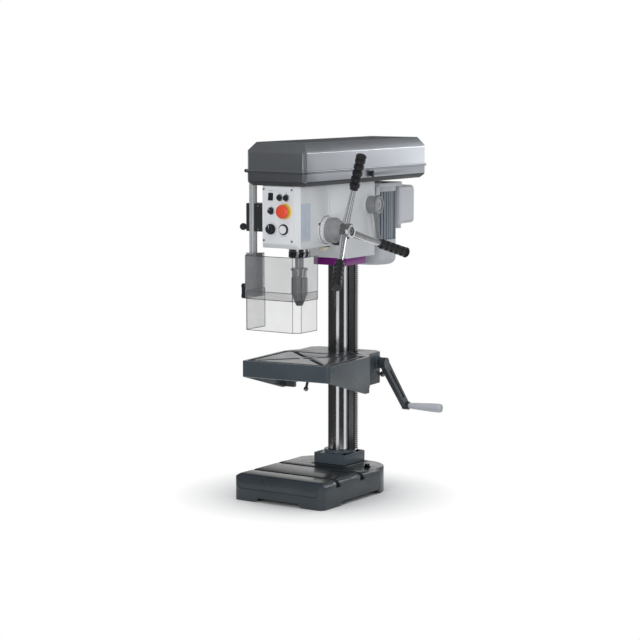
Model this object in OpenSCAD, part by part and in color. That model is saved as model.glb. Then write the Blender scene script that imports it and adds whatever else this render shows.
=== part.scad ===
// Benchtop drill press: cast base, round column with a crank-raised table, and a
// belt-driven head with a quill feed handle, a control panel and a clear chuck guard.
// The origin is the centre of the base's hold-down holes on the bench, +Z up, +Y to the back.

/* [Base] */
// Width of the base casting
base_w = 325; // [300:1:360]
// Length of the base casting, front to back
base_l = 414; // [390:1:450]
// Height of the base up to its painted rim
base_h = 78; // [72:1:90]
// Height of the machined pad over the rim
pad_rise = 2; // [1:0.5:4]
// Width of the bevel round the top of the base
base_bevel = 10; // [6:1:14]
// Radius of the base's front corners in plan
base_front_r = 20; // [12:1:30]
// Radius of the base's rear corners in plan
base_rear_r = 100; // [60:1:120]
// Wall of the hollow castings
cast_wall = 12; // [9:1:16]
// Height of the cut-outs between the feet
foot_h = 12; // [8:1:16]
// Throat width of the T-slots
slot_w = 14; // [10:1:16]
// Distance of the front T-slot from the base's front face
slot_front = 86; // [60:1:110]
// Distance between the two T-slots
slot_pitch = 134; // [110:1:150]
// Hold-down hole spacing across the base
bolt_dx = 270; // [230:1:280]
// Hold-down hole spacing along the base
bolt_dy = 290; // [240:1:310]
// Diameter of the tapped hold-down holes
bolt_d = 10; // [8:0.5:12]

/* [Column] */
// Diameter of the ground column
column_d = 73; // [60:0.5:80]
// Distance of the column axis from the base's rear edge
column_rear = 72; // [66:1:90]
// Side of the square column flange
flange_w = 116; // [106:1:126]
// Height of the column flange
flange_h = 33; // [24:1:40]
// Diameter of the ring that the table rack stands on
ring_d = 96; // [88:1:104]
// Height of that ring
ring_h = 9; // [6:1:14]
// Height of the underside of the head's clamp collar above the bench
collar_z = 700; // [680:1:760]
// Height of the painted clamp collar
collar_h = 25; // [18:1:32]
// Side of the square clamp collar
collar_w = 118; // [108:1:124]

/* [Table] */
// Width of the table
table_w = 297; // [280:1:320]
// Distance of the table's front edge from the column axis
table_front = 346; // [320:1:370]
// Height of the table's top above the bench
table_z = 430; // [410:1:445]
// Angle that the table is swung round the column
table_swing = 4.8; // [0:0.1:8]
// Height of the table's front apron
apron_h = 48; // [40:1:60]
// Height of the table's bracket at the column
bracket_h = 112; // [106:1:125]
// Thickness of the table's top plate
table_t = 20; // [16:1:24]
// Width of the table's raised rim
rim_w = 11; // [8:1:16]
// Depth of the coolant groove inside the rim
groove_d = 5; // [3:0.5:8]
// Width of the coolant groove
groove_w = 12; // [8:1:16]
// Width of the diagonal slots
cross_slot_w = 14; // [10:1:16]
// Diameter of the hole in the middle of the table
table_bore_d = 30; // [20:1:36]
// Length of the crank arm between its two axes
crank_l = 185; // [140:1:190]
// Length of the crank's handle
crank_grip_l = 112; // [90:1:125]

/* [Head] */
// Distance of the spindle axis from the column axis
throat = 223; // [215:1:240]
// Distance of the control panel's face in front of the spindle axis
head_nose = 107; // [100:1:116]
// Width of the head's front part
nose_w = 136; // [130:1:144]
// Width of the head round the column
head_w = 150; // [146:1:160]
// Height of the head from the clamp collar to the belt guard
head_h = 230; // [226:1:245]
// Height of the head's nose over the clamp collar
nose_rise = 45; // [36:1:48]
// Distance of the head's rear face behind the column axis
head_rear = 95; // [85:1:100]
// Wall of the head casting
head_wall = 12; // [10:1:14]
// Diameter of the quill
quill_d = 64; // [62:0.5:66]
// Travel of the quill
quill_travel = 80; // [60:1:80]
// Module of the feed gear and rack
feed_module = 2; // [1.75:0.25:2]
// Teeth of the feed pinion
pinion_teeth = 15; // [15:1:16]
// Height of the feed shaft over the head's underside
feed_rise = 94; // [90:1:98]
// Reach of a feed spoke's tip from the feed shaft's axis
spoke_reach = 232; // [200:1:240]
// Diameter of a feed spoke
spoke_d = 18; // [14:1:20]
// Diameter of a feed grip
grip_d = 32; // [26:1:34]
// Length of a feed grip
grip_l = 110; // [90:1:120]
// Outside diameter of the drill chuck
chuck_d = 49; // [44:1:52]

/* [Belt guard] */
// Width of the belt guard
guard_w = 213.5; // [206:0.5:224]
// Overhang of the belt guard in front of the control panel
guard_front = 19; // [14:1:26]
// Distance of the belt guard's rear face behind the motor axis
guard_rear = 152; // [148:1:165]
// Height of the lower pan
pan_h = 42; // [38:1:50]
// Height of the lid
lid_h = 86; // [82:1:95]
// Wall of the sheet pan and lid
sheet_t = 3; // [2:0.5:4]
// Distance between the spindle and motor axes
pulley_dist = 413; // [405:1:425]
// Pitch diameter of the spindle pulley's driven step
spindle_pulley_d = 140; // [130:1:150]
// Pitch diameter of the motor pulley's driven step
motor_pulley_d = 80; // [70:1:90]
// Travel of the motor when the belt is slackened
motor_travel = 12; // [8:1:14]

/* [Chuck guard] */
// Width of the clear upper shield
shield_w = 196; // [188:1:204]
// Distance of the shield's right wall from the spindle axis
shield_right = 86; // [82:1:90]
// Distance of the shield's front in front of the spindle axis
shield_front = 135; // [125:1:142]
// Depth of the shield from its front to its open back
shield_l = 106; // [90:1:112]
// Thickness of the clear sheet
shield_t = 3; // [2:0.5:4]
// Height of the upper shield
upper_h = 130; // [110:1:140]
// Height of the lower shield
lower_h = 118; // [100:1:130]
// Height that the lower shield laps into the upper one
shield_lap = 24; // [18:1:30]
// Diameter of the guard's post
post_d = 24; // [20:1:26]

/* [Fits] */
// Radial clearance of a running fit
fit = 0.05; // [0.02:0.01:0.1]
// Free gap between pieces that pass each other
gap = 0.3; // [0.2:0.05:0.5]

/* [Hidden] */
$fn = 72;

base_top = base_h + pad_rise;
col_y = base_l / 2 - column_rear;
spindle_y = col_y - throat;
motor_y = spindle_y + pulley_dist;
head_z = collar_z + collar_h;
pan_z = head_z + head_h;
lid_z = pan_z + pan_h;
eps = 0.01;
panel_t = 3;
rack_pitch_in = 1 + feed_module;
feed_offset = quill_d / 2 - rack_pitch_in + feed_module * pinion_teeth / 2;
feed_y = spindle_y + feed_offset;
feed_z = head_z + feed_rise;
front_y = spindle_y - head_nose + panel_t;
rear_y = col_y + head_rear;
step_y = col_y - 155;

// Plain shape helpers
module rrect(w, l, r) {
    square([w - 2 * r, l], center = true);
    square([w, l - 2 * r], center = true);
    for (x = [-1, 1], y = [-1, 1]) translate([x * (w / 2 - r), y * (l / 2 - r)]) circle(r);
}
module rbox(w, l, h, r) linear_extrude(h) rrect(w, l, r);
module along_x(x0, x1) translate([x0, 0, 0]) rotate([90, 0, 90]) linear_extrude(x1 - x0) children();
module along_y(y0, y1) translate([0, y1, 0]) rotate([90, 0, 0]) linear_extrude(y1 - y0) children();
module x_rod(d, x0, x1) translate([x0, 0, 0]) rotate([0, 90, 0]) cylinder(d = d, h = x1 - x0);
module y_rod(d, y0, y1) translate([0, y0, 0]) rotate([-90, 0, 0]) cylinder(d = d, h = y1 - y0);
module ring(d_out, d_in, h) difference() {
    cylinder(d = d_out, h = h);
    translate([0, 0, -1]) cylinder(d = d_in, h = h + 2);
}
module hex_bolt(head_d, head_h, shank_d, shank_l) {
    cylinder(d = head_d, h = head_h, $fn = 6);
    translate([0, 0, -shank_l]) cylinder(d = shank_d, h = shank_l + eps);
}
module socket_screw(head_d, head_h, socket_d) difference() {
    cylinder(d = head_d, h = head_h);
    translate([0, 0, head_h / 2]) cylinder(d = socket_d, h = head_h, $fn = 6);
}

// Involute spur gear outline, one tooth centred on +X
gear_angle = 20;
gear_backlash = 0.16;
flank_steps = 4;
function inv_at(r, rb) = let (a = acos(min(1, rb / r))) tan(a) * 180 / PI - a;
function half_tooth(r, pitch_r, teeth) =
    let (rb = pitch_r * cos(gear_angle))
    90 / teeth - gear_backlash * 90 / (PI * pitch_r) + inv_at(pitch_r, rb) - inv_at(max(r, rb), rb);
function gear_points(m, teeth, add, ded) =
    let (pr = m * teeth / 2, rt = pr + add, rr = pr - ded, rb = max(rr + eps, pr * cos(gear_angle)))
    [for (i = [0:teeth - 1]) let (c = i * 360 / teeth) each concat(
        [[rr, c - half_tooth(rb, pr, teeth)]],
        [for (k = [0:flank_steps])
            let (r = rb + (rt - rb) * k / flank_steps) [r, c - half_tooth(r, pr, teeth)]],
        [for (k = [flank_steps:-1:0])
            let (r = rb + (rt - rb) * k / flank_steps) [r, c + half_tooth(r, pr, teeth)]],
        [[rr, c + half_tooth(rb, pr, teeth)]])];
module gear_2d(m, teeth) polygon([for (p = gear_points(m, teeth, 0.9 * m, 1.2 * m)) p[0] * [cos(p[1]),
    sin(p[1])]]);

// Rack tooth edge from z0 upwards: x is the pitch line, one space centred on z_space
function rack_edge(m, x, z_space, n0, n1) = [for (i = [n0:n1]) let (
        z = z_space + i * PI * m,
        q = PI * m / 4 - gear_backlash / 4,
        a = 0.9 * m, d = 1.2 * m, t = tan(gear_angle))
    each [[x + a, z - q - gear_backlash / 2 - a * t], [x - d, z - q + d * t],
        [x - d, z + q - d * t], [x + a, z + q + gear_backlash / 2 + a * t]]];

// Base casting
foot_run = 78;
rib_t = 8;
base_floor = 15;
slot_bar = 7;
t_head_w = slot_w + 10;
t_head_h = 10;
t_lip = 12;
slot_ys = [-base_l / 2 + slot_front, -base_l / 2 + slot_front + slot_pitch];
pad_w = base_w - 2 * base_bevel - 6;
pad_front = -base_l / 2 + base_bevel + 6;
pad_rear = col_y - flange_w / 2 - 20;
module base_plan(inset) {
    w = base_w - 2 * inset;
    rf = base_front_r;
    rr = base_rear_r - inset;
    y0 = -base_l / 2 + inset;
    y1 = base_l / 2 - inset;
    translate([-w / 2, y0 + rf]) square([w, y1 - y0 - rf - rr]);
    translate([-w / 2 + rf, y0]) square([w - 2 * rf, rf + eps]);
    translate([-w / 2 + rr, y1 - rr - eps]) square([w - 2 * rr, rr + eps]);
    for (s = [-1, 1]) {
        translate([s * (w / 2 - rf), y0 + rf]) circle(rf);
        translate([s * (w / 2 - rr), y1 - rr]) circle(rr);
    }
}
module base_form() {
    linear_extrude(base_h - base_bevel) base_plan(0);
    intersection() {
        linear_extrude(base_h) base_plan(0);
        along_y(-base_l / 2, base_l / 2) polygon([[-base_w / 2, 1], [base_w / 2, 1],
            [base_w / 2, base_h - base_bevel], [base_w / 2 - base_bevel, base_h],
            [-base_w / 2 + base_bevel, base_h], [-base_w / 2, base_h - base_bevel]]);
        along_x(-base_w / 2, base_w / 2) polygon([[-base_l / 2, 1], [base_l / 2, 1], [base_l / 2, base_h],
            [-base_l / 2 + base_bevel + 4, base_h], [-base_l / 2, base_h - base_bevel]]);
    }
    translate([-pad_w / 2, pad_front, base_h - eps]) cube([pad_w, pad_rear - pad_front, pad_rise + eps]);
    translate([0, col_y, base_h - eps]) rbox(flange_w + 14, flange_w + 14, pad_rise + eps, 6);
}
module t_slot() translate([-base_w / 2 - 1, 0, base_top]) {
    translate([0, -slot_w / 2, -t_lip]) cube([base_w + 2, slot_w, t_lip + 1]);
    translate([0, -t_head_w / 2, -t_lip - t_head_h]) cube([base_w + 2, t_head_w, t_head_h + eps]);
}
module base_cells() {
    nx = 3;
    ny = 4;
    w = (base_w - 2 * cast_wall - (nx - 1) * rib_t) / nx;
    l = (base_l - 2 * cast_wall - (ny - 1) * rib_t) / ny;
    difference() {
        intersection() {
            linear_extrude(base_h - base_floor) base_plan(cast_wall);
            union() for (i = [0:nx - 1], j = [0:ny - 1])
                translate([-base_w / 2 + cast_wall + i * (w + rib_t),
                    -base_l / 2 + cast_wall + j * (l + rib_t), -1])
                    cube([w, l, base_h]);
        }
        for (y = slot_ys)
            translate([-base_w, y - t_head_w / 2 - slot_bar, base_top - t_lip - t_head_h - slot_bar])
            cube([2 * base_w, t_head_w + 2 * slot_bar, base_h]);
    }
}
module foot_cut(l) polygon([[-l / 2, -1], [l / 2, -1], [l / 2, 0], [l / 2 - foot_h, foot_h],
    [-l / 2 + foot_h, foot_h], [-l / 2, 0]]);
boss_d = bolt_d + 18;
boss_h = base_h - base_floor + 1;
bolt_depth = 26;
module base() color([0.29, 0.32, 0.35]) difference() {
    union() {
        difference() {
            base_form();
            base_cells();
        }
        for (x = [-1, 1], y = [-1, 1]) translate([x * bolt_dx / 2, y * bolt_dy / 2, 0])
            cylinder(d = boss_d, h = boss_h);
    }
    for (y = slot_ys) translate([0, y, 0]) t_slot();
    along_x(-base_w, base_w) foot_cut(base_l - 2 * foot_run - 30);
    along_y(-base_l, base_l) foot_cut(base_w - 2 * foot_run);
    for (x = [-1, 1], y = [-1, 1]) translate([x * bolt_dx / 2, y * bolt_dy / 2, -1])
        cylinder(d = bolt_d, h = bolt_depth + 1);
    translate([transport_x, transport_y, base_h - 25]) cylinder(d = transport_d + 2 * fit, h = 40);
}

// Column flange and the column
flange_bolt = flange_w / 2 - 14;
column_top = head_z + 150;
column_wall = 6;
module column_flange() color([0.30, 0.33, 0.37]) translate([0, col_y, base_top]) difference() {
    union() {
        rbox(flange_w, flange_w, flange_h, 4);
        cylinder(d = ring_d, h = flange_h + ring_h);
    }
    translate([0, 0, -1]) cylinder(d = column_d + 2 * fit, h = flange_h + ring_h + 2);
    for (x = [-1, 1], y = [-1, 1]) translate([x * flange_bolt, y * flange_bolt, flange_h - 9])
        cylinder(d = 17, h = 20);
}
module column() color([0.78, 0.79, 0.80]) translate([0, col_y, base_top]) difference() {
    union() {
        cylinder(d = column_d, h = column_top - base_top - 3);
        translate([0, 0, column_top - base_top - 3 - eps]) cylinder(d1 = column_d, d2 = column_d - 6, h = 3);
    }
    translate([0, 0, -1]) cylinder(d = column_d - 2 * column_wall, h = column_top - base_top + 2);
}

// Rack that the table climbs, free to turn round the column with it
table_module = 2;
table_teeth = 14;
rack_in = column_d / 2 + 1.5;
rack_pitch_x = rack_in + 20.5;
rack_w = 22;
rack_z0 = base_top + flange_h + ring_h + gap;
rack_z1 = collar_z - gap;
gear_x = rack_pitch_x + table_module * table_teeth / 2;
gear_z = table_z - 55;
module at_column() translate([0, col_y, 0]) rotate(table_swing) children();
module table_rack() color([0.70, 0.71, 0.73]) at_column() {
    n0 = ceil((rack_z0 + 4 - gear_z) / (PI * table_module));
    n1 = floor((rack_z1 - 4 - gear_z) / (PI * table_module));
    a = 0.9 * table_module;
    along_y(-rack_w / 2, rack_w / 2) polygon(concat([[rack_in, rack_z0], [rack_pitch_x + a, rack_z0]],
        rack_edge(table_module, rack_pitch_x, gear_z, n0, n1), [[rack_pitch_x + a, rack_z1],
            [rack_in, rack_z1]]));
}

// Painted collar that carries the head
module clamp_collar() color([0.42, 0.02, 0.44]) translate([0, col_y, collar_z]) difference() {
    rbox(collar_w, collar_w, collar_h, 3);
    translate([0, 0, -1]) cylinder(d = column_d + 2 * fit, h = collar_h + 2);
    for (s = [-1, 1]) translate([s * (column_d / 2 + 10), collar_w / 2 - 9, collar_h / 2]) y_rod(15, 0, 20);
}

// Screws of the frame: four in the flange, two in the collar and a hex bolt in the rear of the base
transport_d = 10;
transport_x = pad_w / 2 - 30;
transport_y = col_y - 28;
module frame_screws() color([0.09, 0.09, 0.10]) {
    for (x = [-1, 1], y = [-1, 1])
        translate([x * flange_bolt, col_y + y * flange_bolt, base_top + flange_h - 9]) socket_screw(16, 8, 8);
    for (s = [-1, 1]) translate([s * (column_d / 2 + 10), col_y + collar_w / 2 - 9, collar_z + collar_h / 2])
        rotate([-90, 0, 0]) socket_screw(14, 8, 7);
    translate([transport_x, transport_y, base_h]) {
        cylinder(d = 21, h = 3);
        translate([0, 0, 3 - eps]) hex_bolt(17, 8, transport_d, 22);
    }
}

// Table casting, in the table's own frame: column axis at x = y = 0, table top at z = 0
skirt_y = -78;
bracket_w = 244;
bracket_rear = 57;
bracket_front = -92;
crank_y = 12;
worm_d = 15;
worm_z = gear_z - table_z + table_module * table_teeth / 2 + 0.9 * table_module + worm_d / 2 + gap;
shaft_d = 12;
boss_x = bracket_w / 2;
crank_boss_d = 40;
crank_x = table_w / 2 - 8;
table_mid = -(table_front - rim_w - groove_w + 84) / 2;
slot_r0 = 34;
slot_r1 = 150;
clamp_y = 48;
clamp_z = -72;
clamp_d = 10;
module at_table() translate([0, col_y, table_z]) rotate(table_swing) children();
module tray_plan(inset) translate([0, (skirt_y - table_front) / 2])
    rrect(table_w - 2 * inset, table_front + skirt_y - 2 * inset, 10);
module table_outer() {
    intersection() {
        translate([0, 0, -bracket_h]) linear_extrude(bracket_h) tray_plan(0);
        along_x(-table_w, table_w) polygon([[-table_front - 1, 0], [skirt_y + 1, 0],
            [skirt_y + 1, -bracket_h],
            [skirt_y - 30, -bracket_h], [-table_front - 1, -apron_h]]);
    }
    translate([0, 0, -bracket_h + 14]) linear_extrude(bracket_h - 14) polygon([
        [-table_w / 2 + 6, bracket_front], [table_w / 2 - 6, bracket_front], [table_w / 2 - 6, skirt_y + 8],
        [bracket_w / 2, skirt_y + 40], [bracket_w / 2, bracket_rear - 20], [bracket_w / 2 - 20, bracket_rear],
        [-bracket_w / 2 + 20, bracket_rear], [-bracket_w / 2, bracket_rear - 20],
        [-bracket_w / 2, skirt_y + 40], [-table_w / 2 + 6, skirt_y + 8]]);
    translate([0, crank_y, worm_z]) x_rod(crank_boss_d, boss_x - eps, crank_x - 8);
}
arch_h = 26;
pocket_x = 110;
pocket_l = 36;
table_boss_d = 70;
module table_cells() {
    wall = 9;
    nx = 3;
    ny = 3;
    x0 = -table_w / 2 + wall;
    y0 = -table_front + wall;
    w = (table_w - 2 * wall - (nx - 1) * rib_t) / nx;
    l = (table_front + bracket_front - wall - (ny - 1) * rib_t) / ny;
    difference() {
        for (i = [0:nx - 1], j = [0:ny - 1]) translate([x0 + i * (w + rib_t), y0 + j * (l + rib_t),
            -bracket_h - 1])
            cube([w, l, bracket_h + 1 - table_t]);
        translate([0, table_mid, -bracket_h - 2]) cylinder(d = table_boss_d, h = bracket_h + 4);
    }
    translate([x0, y0, -bracket_h - 1]) cube([-2 * x0, bracket_front - y0, bracket_h + 1 - apron_h]);
    translate([-pocket_x, bracket_front - 1, -bracket_h - 1]) cube([2 * pocket_x, rib_t + 2, arch_h + 15]);
    translate([-pocket_x, bracket_front + rib_t, -bracket_h - 1])
        cube([2 * pocket_x, pocket_l, bracket_h + 1 - table_t]);
    translate([-pocket_x, -40, -bracket_h - 1]) cube([62, 76, bracket_h + 1 - table_t]);
}
module cross_slots() translate([0, table_mid, -table_t - 1]) for (a = [45:90:315]) rotate(a) {
    translate([slot_r0, -cross_slot_w / 2, 0]) cube([slot_r1 - slot_r0, cross_slot_w, table_t + 2]);
    for (r = [slot_r0, slot_r1]) translate([r, 0, 0]) cylinder(d = cross_slot_w, h = table_t + 2);
}
module coolant_groove() translate([0, 0, -groove_d]) linear_extrude(groove_d + 1) difference() {
    tray_plan(rim_w);
    tray_plan(rim_w + groove_w);
}
module table() color([0.29, 0.32, 0.35]) at_table() difference() {
    table_outer();
    table_cells();
    coolant_groove();
    cross_slots();
    translate([0, table_mid, -bracket_h]) cylinder(d = table_bore_d, h = bracket_h + 1);
    translate([0, 0, -bracket_h - 1]) cylinder(d = column_d + 2 * fit, h = bracket_h + 2);
    translate([rack_in - 2, -rack_w / 2 - gap, -bracket_h - 1])
        cube([rack_pitch_x + 2 - rack_in + 2 + gap, rack_w + 2 * gap, bracket_h + 2]);
    translate([gear_x, 0, gear_z - table_z]) {
        y_rod(table_module * table_teeth + 6, -gear_half, gear_half + crank_y);
        y_rod(gear_pin_d + 2 * fit, gear_pin_y - 1, bracket_rear + 1);
    }
    translate([0, crank_y, worm_z]) {
        x_rod(worm_d + 2, worm_x0 - 1, worm_x0 + worm_l + 1);
        x_rod(shaft_d + 2 * fit, gear_x, crank_x + 1);
    }
    translate([-1.5, column_d / 2 - 2, -bracket_h - 1]) cube([3, bracket_rear, bracket_h + 2]);
    translate([0, clamp_y, clamp_z]) x_rod(clamp_d + 2 * fit, -bracket_w, bracket_w);
}

// Gear and worm inside the table's bracket
gear_half = 13;
gear_pin_d = 9;
gear_pin_y = -30;
worm_x0 = gear_x - 8;
worm_l = 30;
module table_gear() color([0.55, 0.56, 0.58]) at_table() translate([gear_x, 0, gear_z - table_z]) {
    translate([0, gear_half + crank_y - 1, 0]) rotate([90, 0, 0])
        linear_extrude(2 * gear_half + crank_y - 2) rotate(180) gear_2d(table_module, table_teeth);
    y_rod(gear_pin_d, gear_pin_y, bracket_rear - 12);
}
module table_worm() color([0.62, 0.63, 0.65]) at_table() translate([0, crank_y, worm_z]) {
    x_rod(shaft_d, worm_x0 + worm_l - eps, crank_x + 14);
    translate([worm_x0, 0, 0]) rotate([0, 90, 0])
        linear_extrude(worm_l, twist = -360 * worm_l / (PI * table_module * worm_starts), slices = 12)
            worm_section();
}

worm_starts = 4;
worm_root_d = 10;
module worm_section() {
    circle(d = worm_root_d, $fn = 12);
    for (i = [0:worm_starts - 1]) rotate(i * 360 / worm_starts) translate([0, -1.3])
        square([worm_d / 2 - 0.1, 2.6]);
}

// Crank arm and its turning handle
crank_angle = 37.5;
crank_hub_d = 34;
crank_hub_l = 18;
crank_tilt = 6;
crank_end_x = crank_x + crank_l * tan(crank_tilt);
crank_end_d = 26;
crank_t = 16;
crank_pin_d = 10;
crank_dy = crank_l * sin(crank_angle);
crank_dz = -crank_l * cos(crank_angle);
module arm_plan() {
    a = [crank_hub_d / 2 - 1.5, 0];
    b = [crank_end_d / 2 - 1, 0];
    e = [0, -crank_l / cos(crank_tilt)];
    polygon([a, -a, e - b, e + b]);
}
module at_arm() translate([crank_x, 0, 0]) rotate([crank_angle, 0, 0]) rotate([0, -crank_tilt, 0]) children();
module crank_arm() color([0.26, 0.29, 0.33]) at_table() translate([0, crank_y, worm_z]) difference() {
    union() {
        at_arm() along_x(0, crank_t) arm_plan();
        x_rod(crank_hub_d, crank_x - 4, crank_x + crank_hub_l);
        translate([0, crank_dy, crank_dz]) {
            x_rod(crank_end_d, crank_end_x, crank_end_x + crank_t + 4);
            x_rod(crank_pin_d, crank_end_x, crank_end_x + crank_t + crank_grip_l);
        }
    }
    x_rod(shaft_d, crank_x - 10, crank_x + 14);
    at_arm() translate([crank_t - 3, -5, 34 - crank_l]) cube([10, 10, crank_l - 68]);
}
module crank_grip() color([0.72, 0.73, 0.75]) at_table()
    translate([crank_end_x + crank_t + 4 + gap, crank_y + crank_dy, worm_z + crank_dz]) rotate([0, 90, 0])
        difference() {
        rotate_extrude() polygon([[0, 0], [8, 0], [9, 3], [11, 30], [13.5, 78], [14, crank_grip_l - 10],
            [13, crank_grip_l - 2], [11, crank_grip_l], [0, crank_grip_l]]);
        translate([0, 0, -1]) cylinder(d = crank_pin_d + 2 * fit, h = crank_grip_l - 3);
    }

// Clamp lever that locks the table on the column
module table_clamp() color([0.75, 0.76, 0.78]) at_table() translate([0, clamp_y, clamp_z]) {
    x_rod(clamp_d, -bracket_w / 2 - 4, bracket_w / 2 + 10);
    x_rod(18, bracket_w / 2 + gap, bracket_w / 2 + 8);
    x_rod(20, -bracket_w / 2 - 16, -bracket_w / 2 - gap);
    translate([-bracket_w / 2 - 8, 0, 0]) rotate([-25, 0, 0]) {
        translate([0, 0, -62]) cylinder(d = 9, h = 62);
        translate([0, 0, -68]) sphere(d = 16);
    }
}

// Head casting, with z from the clamp collar's top and y from the column axis
facet = 10.5;
feed_boss_d = 84;
feed_boss_h = 3;
pocket_d = 2;
slope_y = col_y - 78;
pinion_bore = feed_module * (pinion_teeth + 1.8) + 1;
quill_boss_d = quill_d + 24;
bush_h = 17;
column_boss_d = column_d + 26;
module head_plan() polygon([[-nose_w / 2 + facet, front_y], [nose_w / 2 - facet, front_y],
    [nose_w / 2, front_y + facet],
    [nose_w / 2, step_y - 6], [head_w / 2, step_y + 8], [head_w / 2, rear_y - 12], [head_w / 2 - 12, rear_y],
    [-head_w / 2 + 12, rear_y], [-head_w / 2, rear_y - 12], [-head_w / 2, step_y + 8],
    [-nose_w / 2, step_y - 6], [-nose_w / 2, front_y + facet]]);
module head_side() polygon([[front_y, nose_rise + 12], [front_y + 9, nose_rise], [slope_y - 50, nose_rise],
    [slope_y, 0], [rear_y, 0], [rear_y, head_h], [front_y, head_h]]);
module side_pocket() polygon([[front_y + facet + 2, nose_rise + 14], [step_y - 12, nose_rise + 14],
    [step_y - 12, head_h - 8], [front_y + facet + 46, head_h - 8], [front_y + facet + 2, head_h - 50]]);
module head_cavity() difference() {
    union() {
        translate([-nose_w / 2 + head_wall, front_y + head_wall, nose_rise + head_wall])
            cube([nose_w - 2 * head_wall, rear_y - front_y - 2 * head_wall, head_h]);
        translate([-head_w / 2 + head_wall, slope_y + head_wall, head_wall])
            cube([head_w - 2 * head_wall, rear_y - slope_y - 2 * head_wall, head_h + nose_rise]);
    }
    translate([0, spindle_y, 0]) cylinder(d = quill_boss_d, h = head_h + 1);
    translate([0, col_y, 0]) cylinder(d = column_boss_d, h = head_h + 1);
    translate([0, feed_y, feed_rise]) x_rod(pinion_bore + 16, -nose_w, nose_w);
    for (s = [-1, 1]) translate([s * guide_x, 0, guide_rise])
        y_rod(guide_d + 14, rear_y - guide_sunk - 8, rear_y);
    translate([-rib_t / 2, front_y, 0]) cube([rib_t, rear_y - front_y, head_h + 1]);
    translate([-nose_w / 2, (spindle_y + col_y) / 2 + 14, 0]) cube([nose_w, rib_t, head_h + 1]);
}
module head_casting() color([0.88, 0.89, 0.90]) translate([0, 0, head_z]) difference() {
    union() {
        difference() {
            intersection() {
                linear_extrude(head_h) head_plan();
                along_x(-head_w, head_w) head_side();
            }
            along_x(nose_w / 2 - pocket_d, nose_w / 2 + pocket_d) side_pocket();
        }
        translate([0, spindle_y, nose_rise - 7]) cylinder(d = quill_boss_d - 6, h = 20);
        translate([0, feed_y, feed_rise]) x_rod(feed_boss_d, nose_w / 2 - 10, nose_w / 2 + feed_boss_h);
        translate([0, tension_y, tension_rise]) x_rod(tension_hub_d + 6, head_w / 2 - 10, head_w / 2 + 3);
    }
    head_cavity();
    translate([0, spindle_y, -1]) cylinder(d = quill_d + 2 * fit, h = head_h + 1 - bush_h);
    translate([0, spindle_y, 0]) cylinder(d = pulley_hub_d + 2 * fit, h = head_h + 1);
    translate([panel_x - 46, front_y - 1, head_h - 148]) cube([92, head_wall + 2, 134]);
    translate([0, col_y, -1]) cylinder(d = column_d + 2 * fit, h = head_h + 2);
    translate([0, feed_y, feed_rise]) x_rod(pinion_bore + 2 * fit, -nose_w, nose_w);
    for (s = [-1, 1]) translate([s * guide_x, 0, guide_rise])
        y_rod(guide_d + 2 * fit, rear_y - guide_sunk, rear_y + 1);
    translate([0, feed_y, feed_rise]) {
        x_rod(feed_boss_d + 3, nose_w / 2 + feed_boss_h, head_w);
        x_rod(spring_flange_d + 3, -head_w, -nose_w / 2);
    }
    translate([0, tension_y, tension_rise]) x_rod(tension_pin_d + 2 * fit, head_w / 2 - 30, head_w);
    translate([lamp_x, lamp_y, nose_rise - 1]) cylinder(d = lamp_d + gap, h = 5);
    translate([lock_x, lock_y, lock_rise]) x_rod(lock_pin_d + 2 * fit, -22, 20);
}

// Control panel and what is set in it
panel_w = 112;
panel_x = -4;
panel_h = 168;
panel_z = head_z + head_h - 2 - panel_h;
panel_y = front_y - panel_t;
rocker_pos = [-30, pan_z - 32];
lamp_a_pos = [3.5, pan_z - 34];
lamp_b_pos = [26.7, pan_z - 34];
stop_pos = [21, pan_z - 74];
selector_pos = [-28, pan_z - 74];
speed_pos = [-28, pan_z - 128];
start_pos = [16, pan_z - 128];
rocker_w = 15;
rocker_pin_d = 2;
stem_d = 8;
stem_l = panel_t + 6;
screw_dx = 50;
screw_dz = 76;
module on_panel(p) translate([p[0], panel_y, p[1]]) rotate([90, 0, 0]) children();
module control_panel() color([0.92, 0.93, 0.94]) difference() {
    translate([panel_x, panel_y, panel_z + panel_h / 2]) rotate([-90, 0, 0])
        rbox(panel_w, panel_h, panel_t, 4);
    for (p = [lamp_a_pos, lamp_b_pos, stop_pos, selector_pos, speed_pos, start_pos])
        on_panel(p) translate([0, 0, -panel_t - 1]) cylinder(d = stem_d + 2 * fit, h = panel_t + 2);
    on_panel(rocker_pos) {
        translate([0, 0, -panel_t - 1]) linear_extrude(panel_t + 2) square([rocker_w + 2, 23], center = true);
        translate([0, 0, -panel_t / 2]) x_rod(rocker_pin_d + 2 * fit, -rocker_w / 2 - 3, rocker_w / 2 + 3);
    }
    for (x = [-1, 1], z = [-1, 1])
        translate([panel_x + x * screw_dx, panel_y, panel_z + panel_h / 2 + z * screw_dz])
        y_rod(4 + 2 * fit, -1, panel_t + 1);
}
module panel_screws() color([0.55, 0.56, 0.58]) for (x = [-1, 1], z = [-1, 1])
    translate([panel_x + x * screw_dx, panel_y, panel_z + panel_h / 2 + z * screw_dz]) {
        rotate([90, 0, 0]) socket_screw(7, 2.2, 3.5);
        y_rod(4, -eps, panel_t);
    }
module rocker_switch() color([0.07, 0.07, 0.08]) on_panel(rocker_pos) {
    along_x(-rocker_w / 2, rocker_w / 2) polygon([[-10.3, -2.8], [10.3, -2.8], [10.3, 1.5], [0, 2.2],
        [-10.3, 4.6]]);
    translate([0, 0, -panel_t / 2]) x_rod(rocker_pin_d, -rocker_w / 2 - 2.5, rocker_w / 2 + 2.5);
}
button_gap = 3.4;
module push_button(p, d, h) on_panel(p) {
    translate([0, 0, button_gap]) cylinder(d = d, h = h - 1);
    translate([0, 0, button_gap + h - 1 - eps]) cylinder(d1 = d, d2 = d - 2, h = 1);
    translate([0, 0, -stem_l]) cylinder(d = stem_d, h = stem_l + button_gap + eps);
}
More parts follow.
